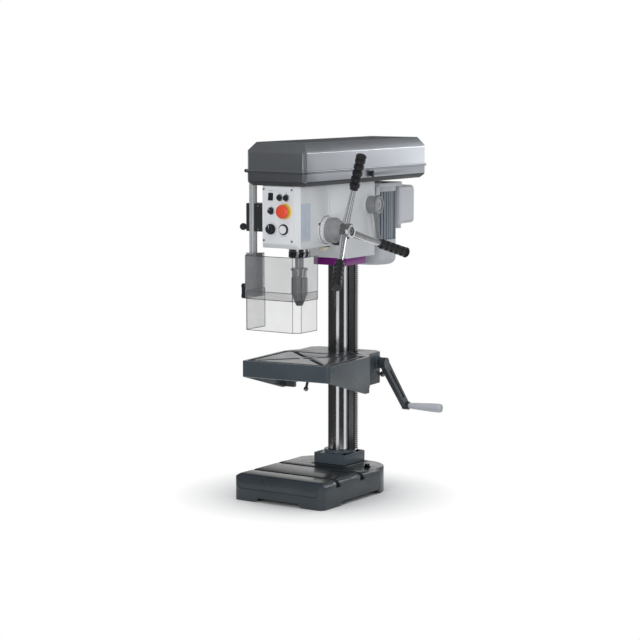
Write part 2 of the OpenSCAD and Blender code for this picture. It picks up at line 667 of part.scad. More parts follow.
module lamp_button_a() color([0.14, 0.17, 0.21]) push_button(lamp_a_pos, 17, 5);
module lamp_button_b() color([0.14, 0.17, 0.21]) push_button(lamp_b_pos, 17, 5);
stop_travel = 5;
stop_ring_d = 46;
stop_ring_h = 3;
module emergency_collar() color([0.95, 0.80, 0.20]) on_panel(stop_pos) difference() {
    rotate_extrude() polygon([[0, 0], [stop_ring_d / 2, 0], [stop_ring_d / 2 - 1, stop_ring_h - 0.6],
        [14, stop_ring_h], [13, stop_ring_h + 4], [0, stop_ring_h + 4]]);
    translate([0, 0, -1]) cylinder(d = stem_d + 2 * fit, h = 20);
}
module emergency_button() color([0.90, 0.22, 0.16]) on_panel(stop_pos) {
    translate([0, 0, stop_ring_h + 4 + stop_travel + gap]) rotate_extrude() polygon([[0, 0], [17, 0],
        [20, 2.5],
        [20.5, 5], [19, 8], [15, 10], [8, 11], [0, 11.2]]);
    translate([0, 0, -stem_l]) cylinder(d = stem_d, h = stem_l + stop_ring_h + 4 + stop_travel + gap + eps);
}
module turn_knob(p, d, h, flutes) on_panel(p) {
    difference() {
        translate([0, 0, gap]) union() {
            cylinder(d = d, h = h * 0.35);
            translate([0, 0, h * 0.35 - eps]) cylinder(d = d * 0.8, h = h * 0.65 - 1.2);
            translate([0, 0, h - 1.2 - 2 * eps]) cylinder(d1 = d * 0.8, d2 = d * 0.8 - 2.4, h = 1.2);
        }
        if (flutes > 0) for (i = [0:flutes - 1]) rotate(i * 360 / flutes)
            translate([d * 0.46, 0, h * 0.35 + gap])
            cylinder(d = d * 0.18, h = h);
        translate([-0.8, d * 0.12, h + gap - 0.8]) cube([1.6, d * 0.28, 2]);
    }
    translate([0, 0, -stem_l]) cylinder(d = stem_d, h = stem_l + gap + eps);
}
module selector_knob() color([0.12, 0.14, 0.17]) turn_knob(selector_pos, 18, 12, 0);
module speed_knob() color([0.12, 0.14, 0.17]) turn_knob(speed_pos, 31, 15, 16);
bezel_d = 33;
module start_bezel() color([0.15, 0.17, 0.20]) on_panel(start_pos) difference() {
    rotate_extrude() polygon([[0, 0], [bezel_d / 2, 0], [bezel_d / 2 - 0.6, 2.5],
        [bezel_d / 2 - 2.5, 4], [0, 4]]);
    translate([0, 0, 1]) cylinder(d = 24.6, h = 10);
    translate([0, 0, -1]) cylinder(d = stem_d + 2 * fit, h = 10);
}
module start_button() color([0.93, 0.94, 0.95]) push_button(start_pos, 24, 4);

// Lamp under the head and the quill lock
lamp_d = 30;
lamp_drop = 17;
lamp_x = 48;
lamp_y = feed_y + 16;
module work_lamp() color([0.95, 0.92, 0.80]) translate([lamp_x, lamp_y, head_z + nose_rise - lamp_drop])
    rotate_extrude() polygon([[0, 0], [lamp_d / 2 - 7, 1], [lamp_d / 2 - 3, 4], [lamp_d / 2 - 0.8, 9],
        [lamp_d / 2 - gap / 2, 13], [lamp_d / 2 - gap / 2, lamp_drop + 4], [0, lamp_drop + 4]]);
lock_x = head_w / 2 - 3;
lock_y = feed_y + 26;
lock_rise = nose_rise + 8;
lock_pin_d = 6;
lock_knob_d = 13;
module quill_lock() color([0.06, 0.06, 0.07]) translate([lock_x, lock_y, head_z + lock_rise]) {
    x_rod(lock_pin_d, -20, 6);
    translate([6 - eps, 0, 0]) rotate([0, 90, 0]) rotate_extrude() polygon([[0, 0], [lock_knob_d / 2 - 1, 0],
        [lock_knob_d / 2, 2], [lock_knob_d / 2, 18], [lock_knob_d / 2 - 2, 22], [0, 22]]);
}

// Quill, its end collar and bearings, and the spindle
quill_z0 = head_z + 30;
quill_z1 = pan_z - 20;
quill_bore_d = 46;
pinion_half = 13;
collar_ring_h = 18;
collar_ring_d = 66;
bearing_h = 14;
journal_d = 25;
spline_d = 16;
nose_d = 26;
module at_spindle(z) translate([0, spindle_y, z]) children();
module quill() color([0.72, 0.73, 0.75]) difference() {
    at_spindle(quill_z0) cylinder(d = quill_d, h = quill_z1 - quill_z0);
    at_spindle(quill_z0 - 1) cylinder(d = quill_bore_d, h = quill_z1 - quill_z0 + 2);
    translate([0, spindle_y, 0]) along_x(-pinion_half - 1.5, pinion_half + 1.5) let (
            n0 = -3,
            n1 = ceil((quill_travel + 14) / (PI * feed_module)),
            x = quill_d / 2 - rack_pitch_in,
            e = rack_edge(feed_module, x, feed_z, n0, n1))
        polygon(concat(e, [[quill_d, e[len(e) - 1][1]], [quill_d, e[0][1]]]));
}
module quill_collar() color([0.07, 0.07, 0.08]) at_spindle(quill_z0 - collar_ring_h)
    ring(collar_ring_d, nose_d + 3, collar_ring_h);
module quill_bearings() color([0.80, 0.81, 0.82]) for (z = [quill_z0, quill_z1 - bearing_h])
    at_spindle(z) ring(quill_bore_d, journal_d + 2 * fit, bearing_h);
chuck_z1 = quill_z0 - collar_ring_h - 31;
spindle_top = lid_z + 52;
module spindle() color([0.80, 0.81, 0.82]) at_spindle(0) {
    translate([0, 0, quill_z0 - 0.5]) cylinder(d = journal_d, h = quill_z1 - quill_z0 + 1);
    translate([0, 0, chuck_z1 - 8]) cylinder(d = nose_d, h = quill_z0 - chuck_z1 + 8 - gap - 0.3);
    translate([0, 0, quill_z0 - gap - 0.3 - eps]) cylinder(d = journal_d, h = 1);
    translate([0, 0, quill_z1]) cylinder(d = spline_d, h = spindle_top - quill_z1);
}

// Keyless chuck: fixed body, turning sleeve and three jaws that slide in slanting bores
chuck_ring_h = 10;
chuck_ring_d = chuck_d + 3;
chuck_top_h = 30;
chuck_top_d = 44;
sleeve_h = 50;
core_d = 38;
cone_h = 36;
jaw_d = 6;
jaw_tilt = 12;
jaw_l = 46;
nose_h = 35;
sleeve_z0 = chuck_z1 - chuck_top_h - sleeve_h;
jaw_tip_z = sleeve_z0 - cone_h;
module chuck_body() color([0.68, 0.69, 0.71]) difference() {
    at_spindle(0) {
        translate([0, 0, chuck_z1]) rotate_extrude() polygon([[0, -chuck_top_h + gap],
            [chuck_top_d / 2, -chuck_top_h + gap], [chuck_top_d / 2, -chuck_ring_h],
            [chuck_ring_d / 2, -chuck_ring_h + 1], [chuck_ring_d / 2, -3], [chuck_ring_d / 2 - 6, 0],
                [0, 0]]);
        translate([0, 0, sleeve_z0 + 2]) cylinder(d = core_d, h = sleeve_h);
    }
    at_spindle(chuck_z1 - 8) cylinder(d = nose_d + 2 * fit, h = 20);
    for (i = [0:2]) jaw_axis(i) cylinder(d = jaw_d + 0.3, h = jaw_l + 12);
}
module chuck_sleeve() color([0.38, 0.39, 0.41]) at_spindle(sleeve_z0) difference() {
    rotate_extrude() polygon([[0, -nose_h], [9.2, -nose_h], [10.6, -nose_h + 2], [chuck_d / 2, 0],
        [chuck_d / 2, sleeve_h - 2], [chuck_d / 2 - 1.5, sleeve_h], [0, sleeve_h]]);
    translate([0, 0, 2 - gap]) cylinder(d = core_d + 2 * fit, h = sleeve_h + 1);
    translate([0, 0, -eps]) cylinder(r = jaw_room, h = 10);
    translate([0, 0, -nose_h - eps]) cylinder(r1 = 8, r2 = jaw_room, h = nose_h + 2 * eps);
}
jaw_room = 14.5;
module jaw_axis(i) at_spindle(jaw_tip_z) rotate(i * 120 + 30)
    translate([jaw_d / 2 + 0.2, 0, 0]) rotate([0, jaw_tilt, 0]) children();
module chuck_jaw(i) color([0.30, 0.31, 0.33]) jaw_axis(i) {
    cylinder(d1 = jaw_d * 0.5, d2 = jaw_d, h = 12);
    translate([0, 0, 12 - eps]) cylinder(d = jaw_d, h = jaw_l - 12);
}
module chuck_jaw_a() chuck_jaw(0);
module chuck_jaw_b() chuck_jaw(1);
module chuck_jaw_c() chuck_jaw(2);

// Feed shaft with its pinion, hub, spokes and grips
hub_x0 = nose_w / 2 + 38;
hub_x1 = nose_w / 2 + 90;
hub_d = 48;
drum_d = 76;
drum_x0 = nose_w / 2 + feed_boss_h + 12;
ring_x0 = nose_w / 2 + feed_boss_h + gap;
spoke_tilt = 20.4;
spoke_x = (hub_x0 + hub_x1) / 2;
spoke_angles = [-10.4, 109.6, 229.6];
spoke_l = spoke_reach / cos(spoke_tilt);
feed_core_d = 30;
spoke_seat = 29;
grip_ribs = 5;
module at_feed() translate([0, feed_y, feed_z]) children();
module spoke_axis(a) translate([spoke_x, 0, 0]) rotate([-a, 0, 0]) rotate([0, spoke_tilt, 0]) children();
module pinion_shaft() color([0.66, 0.67, 0.69]) at_feed() {
    along_x(-pinion_half, pinion_half) rotate(180) gear_2d(feed_module, pinion_teeth);
    for (s = [-1, 1])
        x_rod(pinion_bore, s * (nose_w / 2 - head_wall / 2) - 6, s * (nose_w / 2 - head_wall / 2) + 6);
    x_rod(20, -nose_w / 2, hub_x1 - 8);
}
module feed_hub() color([0.78, 0.79, 0.80]) at_feed() difference() {
    union() {
        x_rod(drum_d, drum_x0, hub_x0 - 4);
        translate([hub_x0 - 4 - eps, 0, 0]) rotate([0, 90, 0]) cylinder(d1 = drum_d, d2 = drum_d - 8, h = 4);
        translate([hub_x0 - eps, 0, 0]) rotate([0, 90, 0]) rotate_extrude() polygon([[0, 0],
            [drum_d / 2 - 4, 0],
            [hub_d / 2 + 6, 10], [hub_d / 2 + 3, 20], [hub_d / 2 + 2, 28], [hub_d / 2, 44],
            [hub_d / 2 - 3, hub_x1 - hub_x0], [0, hub_x1 - hub_x0]]);
    }
    x_rod(20, -nose_w, hub_x1 - 8);
    x_rod(26, hub_x1 - 7, hub_x1 + 5);
    for (a = spoke_angles) spoke_axis(a) translate([0, 0, 12]) cylinder(d = spoke_d * 0.8, h = 60);
}
module feed_spokes() color([0.76, 0.77, 0.78]) at_feed() for (a = spoke_angles) spoke_axis(a) {
    translate([0, 0, 14]) cylinder(d = spoke_d * 0.8, h = spoke_seat - 8);
    translate([0, 0, spoke_seat])
        cylinder(d1 = spoke_d + 5, d2 = spoke_d - 1, h = spoke_l - grip_l - spoke_seat);
    translate([0, 0, spoke_l - grip_l - eps]) cylinder(d = spoke_d * 0.75, h = grip_l - 10);
}
module feed_grips() color([0.10, 0.10, 0.11]) at_feed() for (a = spoke_angles)
    spoke_axis(a) translate([0, 0, spoke_l - grip_l]) difference() {
    rotate_extrude() {
        polygon(concat([[0, 0], [grip_d / 2 - 3, 0]], [for (i = [0:grip_ribs - 1])
            let (z = 4 + i * (grip_l - 12) / grip_ribs,
            p = (grip_l - 12) / grip_ribs) each [[grip_d / 2 - 4.6, z], [grip_d / 2 - 0.6, z + p * 0.22],
            [grip_d / 2 - 0.6, z + p * 0.76], [grip_d / 2 - 4.2, z + p * 0.97]]],
            [[grip_d / 2, grip_l - 7], [grip_d / 2, grip_l - 3], [grip_d / 2 - 3, grip_l], [0, grip_l]]));
    }
    translate([0, 0, -1]) cylinder(d = spoke_d * 0.75 + 2 * fit, h = grip_l - 8);
}
module depth_ring() color([0.90, 0.91, 0.92]) at_feed() difference() {
    x_rod(feed_boss_d - 2, ring_x0, drum_x0 - gap);
    x_rod(feed_core_d, ring_x0 - 5, drum_x0 + 5);
}

// Return spring case on the left end of the feed shaft
spring_flange_d = 74;
module spring_case() color([0.14, 0.15, 0.17]) at_feed() difference() {
    union() {
        x_rod(62, -nose_w / 2 - 24, -nose_w / 2);
        x_rod(spring_flange_d, -nose_w / 2 - 5, -nose_w / 2);
    }
    x_rod(22, -nose_w / 2 - 18, -nose_w / 2 + 1);
}

// Belt guard: lower pan, hinged lid, hinge pins and latch
guard_y0 = panel_y - guard_front;
guard_y1 = motor_y + guard_rear;
seam_flange = 4;
seam_t = 4;
lid_shoulder = 56;
lid_inset_side = 20;
lid_inset_front = 27;
lid_inset_rear = 22;
pan_chamfer = 15;
corner_cut = 10;
module guard_plan(i) let (x = guard_w / 2 - i, y0 = guard_y0 + i, y1 = guard_y1 - i, c = corner_cut)
    polygon([[-x + c, y0], [x - c, y0], [x, y0 + c], [x, y1 - c],
        [x - c, y1], [-x + c, y1], [-x, y1 - c], [-x, y0 + c]]);
module lid_form(i) let (x = guard_w / 2 - i, y0 = guard_y0 + i, y1 = guard_y1 - i, z = lid_h - i,
        s = lid_shoulder) intersection() {
    translate([0, 0, -1]) linear_extrude(lid_h + 1) guard_plan(i);
    along_y(guard_y0, guard_y1) polygon([[-x, -1], [x, -1], [x, s],
        [x - lid_inset_side, z], [-x + lid_inset_side, z], [-x, s]]);
    along_x(-guard_w, guard_w) polygon([[y0, -1], [y1, -1], [y1, s],
        [y1 - lid_inset_rear, z], [y0 + lid_inset_front, z], [y0, s]]);
}
module pan_form(i, z0) let (x = guard_w / 2 - i, y0 = guard_y0 + i, y1 = guard_y1 - i, c = pan_chamfer)
    intersection() {
    translate([0, 0, z0]) linear_extrude(pan_h + 2) guard_plan(i);
    along_y(guard_y0, guard_y1) polygon([[-x + c, z0], [x - c, z0], [x, z0 + c],
        [x, pan_h + 2], [-x, pan_h + 2], [-x, z0 + c]]);
    along_x(-guard_w, guard_w) polygon([[y0 + c, z0], [y1 - c, z0], [y1, z0 + c],
        [y1, pan_h + 2], [y0, pan_h + 2], [y0, z0 + c]]);
}
hinge_x = -guard_w / 2 - 5.5;
hinge_z = lid_z + 1;
hinge_d = 10;
pin_d = 5;
knuckle_l = 24;
ear_l = 7;
hinge_ys = [guard_y0 + 14, (guard_y0 + guard_y1) / 2, guard_y1 - 60];
module on_hinge(d, y0, y1) translate([hinge_x, 0, hinge_z]) y_rod(d, y0, y1);
module lid_knuckles(d, side) for (y = hinge_ys) on_hinge(d, y - side, y + knuckle_l + side);
module pan_knuckles(d, side) for (y = hinge_ys) {
    on_hinge(d, y - ear_l - gap - side, y - gap + side);
    on_hinge(d, y + knuckle_l + gap - side, y + knuckle_l + gap + ear_l + side);
}
module pin_bores() for (y = hinge_ys) on_hinge(pin_d + 2 * fit, y - 20, y + knuckle_l + 20);
module belt_pan() color([0.27, 0.29, 0.31]) difference() {
    union() {
        difference() {
            translate([0, 0, pan_z]) pan_shell();
            lid_knuckles(hinge_d + 2 * gap, gap);
        }
        pan_knuckles(hinge_d, 0);
    }
    pin_bores();
    translate([0, spindle_y, pan_z - 1]) cylinder(d = pulley_hub_d + 10, h = 10);
    translate([-40, motor_y - 40 - motor_travel, pan_z - 1]) cube([80, 80 + motor_travel, 10]);
    translate([0, latch_y, pan_z + latch_rise]) x_rod(latch_pin_d + 2 * fit, guard_w / 2 - 10, guard_w);
}
module pan_shell() difference() {
    union() {
        intersection() {
            pan_form(0, 0);
            translate([-guard_w, guard_y0 - 1, 0]) cube([2 * guard_w, guard_y1 - guard_y0 + 2, pan_h]);
        }
        translate([0, 0, pan_h - seam_t]) linear_extrude(seam_t) guard_plan(-seam_flange);
    }
    pan_form(sheet_t, sheet_t);
}
module belt_lid() color([0.27, 0.29, 0.31]) difference() {
    union() {
        difference() {
            translate([0, 0, lid_z + gap]) lid_shell();
            pan_knuckles(hinge_d + 2 * gap, gap);
        }
        lid_knuckles(hinge_d, 0);
    }
    pin_bores();
}
module lid_shell() difference() {
    union() {
        intersection() {
            lid_form(0);
            translate([-guard_w, guard_y0 - 1, 0]) cube([2 * guard_w, guard_y1 - guard_y0 + 2, lid_h]);
        }
        linear_extrude(seam_t) guard_plan(-seam_flange);
    }
    lid_form(sheet_t);
}
module hinge_pins() color([0.10, 0.10, 0.11]) for (y = hinge_ys)
    on_hinge(pin_d, y - gap - ear_l - 1, y + knuckle_l + gap + ear_l + 1);
latch_y = col_y + 7;
latch_rise = pan_h - 16;
latch_pin_d = 8;
module lid_latch() color([0.06, 0.06, 0.07]) translate([guard_w / 2, latch_y, pan_z + latch_rise]) {
    x_rod(latch_pin_d, -6, 3);
    x_rod(16, gap, 5);
    along_x(5 - eps, 11) rrect(8, 20, 3.9);
}

// Pulleys and belt
belt_w = 12;
belt_t = 8;
belt_side = 3;
step_h = 20;
belt_z = pan_z + 22;
pulley_hub_d = 44;
function step_ds(d0, dd) = [for (i = [0:2]) d0 + i * dd];
belt_lift = 0.6;
belt_lap = 0.2;
function groove_half(r, pitch_r) =
    belt_w / 2 - belt_side * (pitch_r + belt_lift + belt_t / 2 - r) / belt_t + 1.1 * gap;
module pulley_step(pitch_r) let (
        r1 = pitch_r + belt_lift + belt_t / 2 + 0.6,
        r0 = pitch_r + belt_lift - belt_t / 2 - 1.2,
        g1 = groove_half(r1, pitch_r), g0 = groove_half(r0, pitch_r), h = step_h / 2)
    rotate_extrude() polygon([[0, -h], [r1, -h], [r1, -g1], [r0, -g0], [r0, g0], [r1, g1], [r1, h], [0, h]]);
module pulley_steps(ds) for (i = [0:len(ds) - 1]) translate([0, 0, i * step_h]) pulley_step(ds[i] / 2);
module spindle_pulley() color([0.60, 0.61, 0.63]) at_spindle(belt_z) difference() {
    union() {
        pulley_steps(step_ds(spindle_pulley_d, -20));
        translate([0, 0, pan_z - bush_h - belt_z]) cylinder(d = pulley_hub_d, h = bush_h + belt_z - pan_z);
    }
    translate([0, 0, -60]) cylinder(d = spline_d + 2 * gap, h = 160);
}
module motor_pulley() color([0.60, 0.61, 0.63]) translate([0, motor_y, belt_z]) {
    pulley_steps(step_ds(motor_pulley_d, 20));
    translate([0, 0, -belt_z + motor_z1 - 30]) cylinder(d = 19, h = belt_z - motor_z1 + 30);
}
module belt_section(sx) polygon([[sx - belt_t / 2, -belt_w / 2 + belt_side], [sx + belt_t / 2, -belt_w / 2],
    [sx + belt_t / 2, belt_w / 2], [sx - belt_t / 2, belt_w / 2 - belt_side]]);
module drive_belt() color([0.08, 0.08, 0.09]) at_spindle(belt_z) {
    r1 = spindle_pulley_d / 2 + belt_lift;
    r2 = motor_pulley_d / 2 + belt_lift;
    b = asin((r1 - r2) / pulley_dist);
    run = pulley_dist * cos(b);
    rotate(180 - b) rotate_extrude(angle = 180 + 2 * b) belt_section(r1);
    translate([0, pulley_dist, 0]) rotate(b) rotate_extrude(angle = 180 - 2 * b) belt_section(r2);
    for (s = [0, 1]) mirror([s, 0, 0]) rotate(b) translate([0, -belt_lap, 0]) rotate([-90, 0, 0])
        linear_extrude(run + 2 * belt_lap) belt_section(r1);
}

// Motor on its sliding plate
guide_d = 16;
guide_x = 46;
guide_rise = head_h - 34;
guide_sunk = 70;
motor_z1 = pan_z - 24;
motor_z0 = collar_z - 14;
motor_d = 148;
window_z0 = motor_z0 + 80;
window_z1 = motor_z1 - 14;
plate_t = 13;
module motor_plate() color([0.84, 0.85, 0.87]) {
    difference() {
        union() {
            translate([0, motor_y, motor_z1]) rbox(motor_d, motor_d, plate_t, 24);
            translate([-65, rear_y + motor_travel + 2, head_z + guide_rise - 13]) cube([130, 22, 26]);
            translate([-60, rear_y + motor_travel + 4, motor_z1]) cube([120, 50, plate_t]);
        }
        translate([0, motor_y, motor_z1 - 1]) cylinder(d = 60, h = plate_t + 2);
        translate([0, motor_y, motor_z1 - 60]) cylinder(d = motor_d + 2 * gap, h = 60);
    }
    for (s = [-1, 1]) translate([s * guide_x, 0, head_z + guide_rise])
        y_rod(guide_d, rear_y - guide_sunk + motor_travel + 2, rear_y + motor_travel + 4);
}
fins = 40;
module motor_core() color([0.40, 0.44, 0.50]) translate([0, motor_y, 0]) difference() {
    translate([0, 0, window_z0 - 10]) linear_extrude(motor_z1 - window_z0 + 10) difference() {
        circle(d = motor_d - 12);
        for (i = [0:fins - 1]) rotate(i * 360 / fins) translate([motor_d / 2 - 12, -1.6]) square([20, 3.2]);
    }
    translate([0, 0, motor_z1 - 36]) cylinder(d = 19 + 2 * fit, h = 50);
}
window_angles = [0, 180];
module motor_shroud() color([0.80, 0.81, 0.83]) translate([0, motor_y, 0]) difference() {
    rotate_extrude() {
        translate([0, motor_z0]) square([motor_d / 2 - 22, 4]);
        translate([motor_d / 2 - 5, motor_z0 + 22]) square([5, motor_z1 - motor_z0 - 22]);
        translate([motor_d / 2 - 22, motor_z0 + 22]) difference() {
            circle(22);
            circle(17);
            translate([-30, -30]) square([30, 60]);
            translate([-30, 0]) square([60, 30]);
        }
    }
    for (a = window_angles) rotate(a - 10) translate([0, -44, window_z0])
        cube([motor_d, 88, window_z1 - window_z0]);
    for (x = [-2:2]) translate([x * 14 - 3, -30, motor_z0 - 1]) cube([6, 60, 10]);
}
box_w = 130;
box_h = 121;
box_z = pan_z - 146;
module terminal_box() color([0.83, 0.84, 0.86]) difference() {
    union() {
        translate([0, motor_y + motor_d / 2 - 16, box_z]) rotate([-90, 0, 0])
            translate([0, -box_h / 2, 0]) rbox(box_w, box_h, 26, 12);
        translate([0, motor_y + motor_d / 2 + 10 - eps, box_z]) rotate([-90, 0, 0])
            translate([0, -box_h / 2, 0])
            rbox(box_w, box_h, guard_rear - motor_d / 2 - 16, 14);
        translate([30, motor_y + motor_d / 2 + 30, box_z - 16]) cylinder(d = 22, h = 18);
    }
    translate([0, motor_y, box_z - 1]) cylinder(d = motor_d + 2 * gap, h = box_h + 2);
    translate([30, motor_y + motor_d / 2 + 30, box_z - 17]) cylinder(d = 10, h = 20);
}

// Belt tension lever on the right of the head
tension_y = col_y + 52;
tension_rise = pan_z - 72 - head_z;
tension_hub_d = 54;
tension_pin_d = 14;
module tension_lever() color([0.76, 0.77, 0.78]) translate([0, tension_y, head_z + tension_rise]) {
    x_rod(tension_pin_d, head_w / 2 - 26, head_w / 2 + 10);
    difference() {
        x_rod(tension_hub_d, head_w / 2 + 3 + gap, head_w / 2 + 36);
        x_rod(tension_hub_d - 14, head_w / 2 + 33, head_w / 2 + 40);
    }
    translate([head_w / 2 + 18, 0, 0]) rotate([14, 0, 0]) {
        translate([0, 0, -100]) cylinder(d1 = 11, d2 = 15, h = 80);
        translate([0, 0, -124]) cylinder(d = 13, h = 25);
    }
}

// Chuck guard: switch, turning post, sliding shields and clamp knobs
post_x = shield_right - shield_w - 23;
post_y = spindle_y - 51;
switch_z = pan_z - 142;
switch_h = 84;
post_z0 = switch_z - 186;
post_z1 = pan_z + 14;
shield_z0 = switch_z - 195;
lower_z0 = shield_z0 + shield_lap - lower_h;
shield_back = spindle_y - shield_front + shield_l;
holder_wall = 4;
shield_cut = 20;
shield_corner = 8;
knob_pin_d = 8;
knob_rise = 12;
module guard_switch() color([0.16, 0.17, 0.18]) difference() {
    translate([post_x - 20, post_y - 8, switch_z]) cube([-nose_w / 2 - post_x + 20, 46, switch_h]);
    translate([post_x, post_y, switch_z - 1]) cylinder(d = post_d + 2 * fit, h = switch_h + 2);
    translate([post_x, post_y, switch_z + knob_rise]) x_rod(knob_pin_d + 2 * fit, -40, 0);
}
module guard_post() color([0.74, 0.75, 0.77]) translate([post_x, post_y, post_z0])
    linear_extrude(post_z1 - post_z0) difference() {
    circle(d = post_d);
    for (a = [200:40:360]) rotate(a) translate([post_d / 2 - 1, 0]) circle(d = 4, $fn = 16);
}
module shield_plan(inset, back) let (
        x0 = shield_right - shield_w + inset, x1 = shield_right - inset, y = inset - shield_l,
        k = 2 - sqrt(2), c0 = shield_corner - k * inset, c1 = shield_cut - k * inset)
    polygon([[x0, back], [x0, y + c0], [x0 + c0, y], [x1 - c1, y], [x1, y + c1], [x1, back]]);
module shield(inset, h) linear_extrude(h) difference() {
    shield_plan(inset, 0);
    shield_plan(inset + shield_t, eps);
}
module guard_holder() color([0.55, 0.56, 0.58]) translate([post_x, post_y, shield_z0]) difference() {
    translate([-post_d / 2 - holder_wall, -post_d / 2 - holder_wall, 0])
        cube([shield_right - shield_w - post_x + post_d / 2 + holder_wall,
            post_d + 2 * holder_wall, upper_h]);
    translate([0, 0, -1]) cylinder(d = post_d + 2 * fit, h = upper_h + 2);
    translate([0, 0, knob_rise]) x_rod(knob_pin_d + 2 * fit, -post_d, 0);
}
module upper_shield() color([0.85, 0.87, 0.88, 0.5]) translate([0, shield_back, shield_z0])
    shield(0, upper_h);
module lower_shield() color([0.85, 0.87, 0.88, 0.5]) translate([0, shield_back, lower_z0])
    shield(shield_t + gap, lower_h);
wing_r = 23;
ball_d = 22;
module wing_knob() color([0.06, 0.06, 0.07]) translate([post_x, post_y, shield_z0 + knob_rise]) {
    x_rod(knob_pin_d, -post_d / 2 - holder_wall - 6, -post_d / 2 - gap);
    x_rod(18, -post_d / 2 - holder_wall - 18, -post_d / 2 - holder_wall - 5);
    along_x(-post_d / 2 - holder_wall - 24, -post_d / 2 - holder_wall - 14) {
        rrect(12, 2 * wing_r, 5.9);
        for (s = [-1, 1]) translate([0, s * (wing_r - 8)]) circle(d = 16);
    }
}
module post_knob() color([0.06, 0.06, 0.07]) translate([post_x, post_y, switch_z + knob_rise]) {
    x_rod(knob_pin_d, -22, -post_d / 2 - gap);
    translate([-20 - gap, 0, 0]) rotate([0, -90, 0]) rotate_extrude() polygon(concat([[0, 0], [7, 0], [7, 5]],
        [for (a = [-50:14:90]) [ball_d / 2 * cos(a), 16 + ball_d / 2 * sin(a)]]));
}

base();
frame_screws();
column_flange();
column();
table_rack();
clamp_collar();
table();
table_gear();
table_worm();
crank_arm();
crank_grip();
table_clamp();
head_casting();
control_panel();
panel_screws();
rocker_switch();
lamp_button_a();
lamp_button_b();
emergency_collar();
emergency_button();
selector_knob();
speed_knob();
start_bezel();
start_button();
work_lamp();
quill();
quill_collar();
quill_bearings();
spindle();
chuck_body();
chuck_sleeve();
chuck_jaw_a();
chuck_jaw_b();
chuck_jaw_c();
pinion_shaft();
feed_hub();
feed_spokes();
feed_grips();
depth_ring();
spring_case();
quill_lock();
belt_pan();
belt_lid();
hinge_pins();
lid_latch();
spindle_pulley();
motor_pulley();
drive_belt();
motor_plate();
motor_core();
motor_shroud();
terminal_box();
tension_lever();
guard_switch();
guard_post();
guard_holder();
upper_shield();
lower_shield();
wing_knob();
post_knob();
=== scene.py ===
import math

import bmesh
import bpy
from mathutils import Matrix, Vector


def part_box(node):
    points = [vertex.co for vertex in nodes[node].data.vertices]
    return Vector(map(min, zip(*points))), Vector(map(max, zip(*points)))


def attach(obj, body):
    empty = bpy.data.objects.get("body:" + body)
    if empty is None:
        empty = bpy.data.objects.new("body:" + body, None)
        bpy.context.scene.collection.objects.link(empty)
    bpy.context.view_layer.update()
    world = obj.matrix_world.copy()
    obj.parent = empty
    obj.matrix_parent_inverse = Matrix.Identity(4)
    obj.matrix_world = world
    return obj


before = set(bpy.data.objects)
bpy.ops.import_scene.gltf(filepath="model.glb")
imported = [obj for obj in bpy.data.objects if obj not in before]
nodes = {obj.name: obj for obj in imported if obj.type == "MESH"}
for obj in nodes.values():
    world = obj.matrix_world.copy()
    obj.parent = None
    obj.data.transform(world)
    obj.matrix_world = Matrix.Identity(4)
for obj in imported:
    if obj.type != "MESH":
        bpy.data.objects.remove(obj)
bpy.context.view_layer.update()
scene = bpy.context.scene

AXIS_X, AXIS_Y, AXIS_Z = 0, 1, 2
NOISE_LOW, NOISE_HIGH = 0.3, 0.7  # where most values of a noise texture lie


# Materials: every colour, gloss and bump comes from nodes in the piece's own coordinates
class Tree:
    """A small builder for a node tree; inputs are given by name, or by place as i0, i1 and so on."""

    def __init__(self, tree):
        self.tree = tree
        tree.nodes.clear()

    def link(self, a, b):
        self.tree.links.new(a, b)

    def put(self, socket, value):
        if hasattr(value, "is_output"):
            self.link(value, socket)
        elif hasattr(socket.default_value, "__len__"):
            alpha = (1.0,) if len(value) < len(socket.default_value) else ()
            socket.default_value = tuple(value) + alpha
        else:
            socket.default_value = value

    def node(self, kind, out=0, props=None, **inputs):
        n = self.tree.nodes.new(kind)
        for k, v in (props or {}).items():
            setattr(n, k, v)
        for k, v in inputs.items():
            by_place = k[0] == "i" and k[1:].isdigit()
            self.put(n.inputs[int(k[1:]) if by_place else k], v)
        return n.outputs[out]

    def ramp(self, value, low, high, a=0.0, b=1.0, curve="LINEAR"):
        return self.node("ShaderNodeMapRange", props={"interpolation_type": curve},
                         i0=value, i1=low, i2=high, i3=a, i4=b)

    def math(self, op, a, b=0.0):
        return self.node("ShaderNodeMath", props={"operation": op}, i0=a, i1=b)

    def part(self, vector, axis):
        return self.node("ShaderNodeSeparateXYZ", out=axis, i0=vector)

    def rays(self, *kinds):
        """One for the given kinds of ray, zero for others."""
        level = self.node("ShaderNodeLightPath", out=kinds[0])
        for kind in kinds[1:]:
            level = self.math("MAXIMUM", level, self.node("ShaderNodeLightPath", out=kind))
        return level


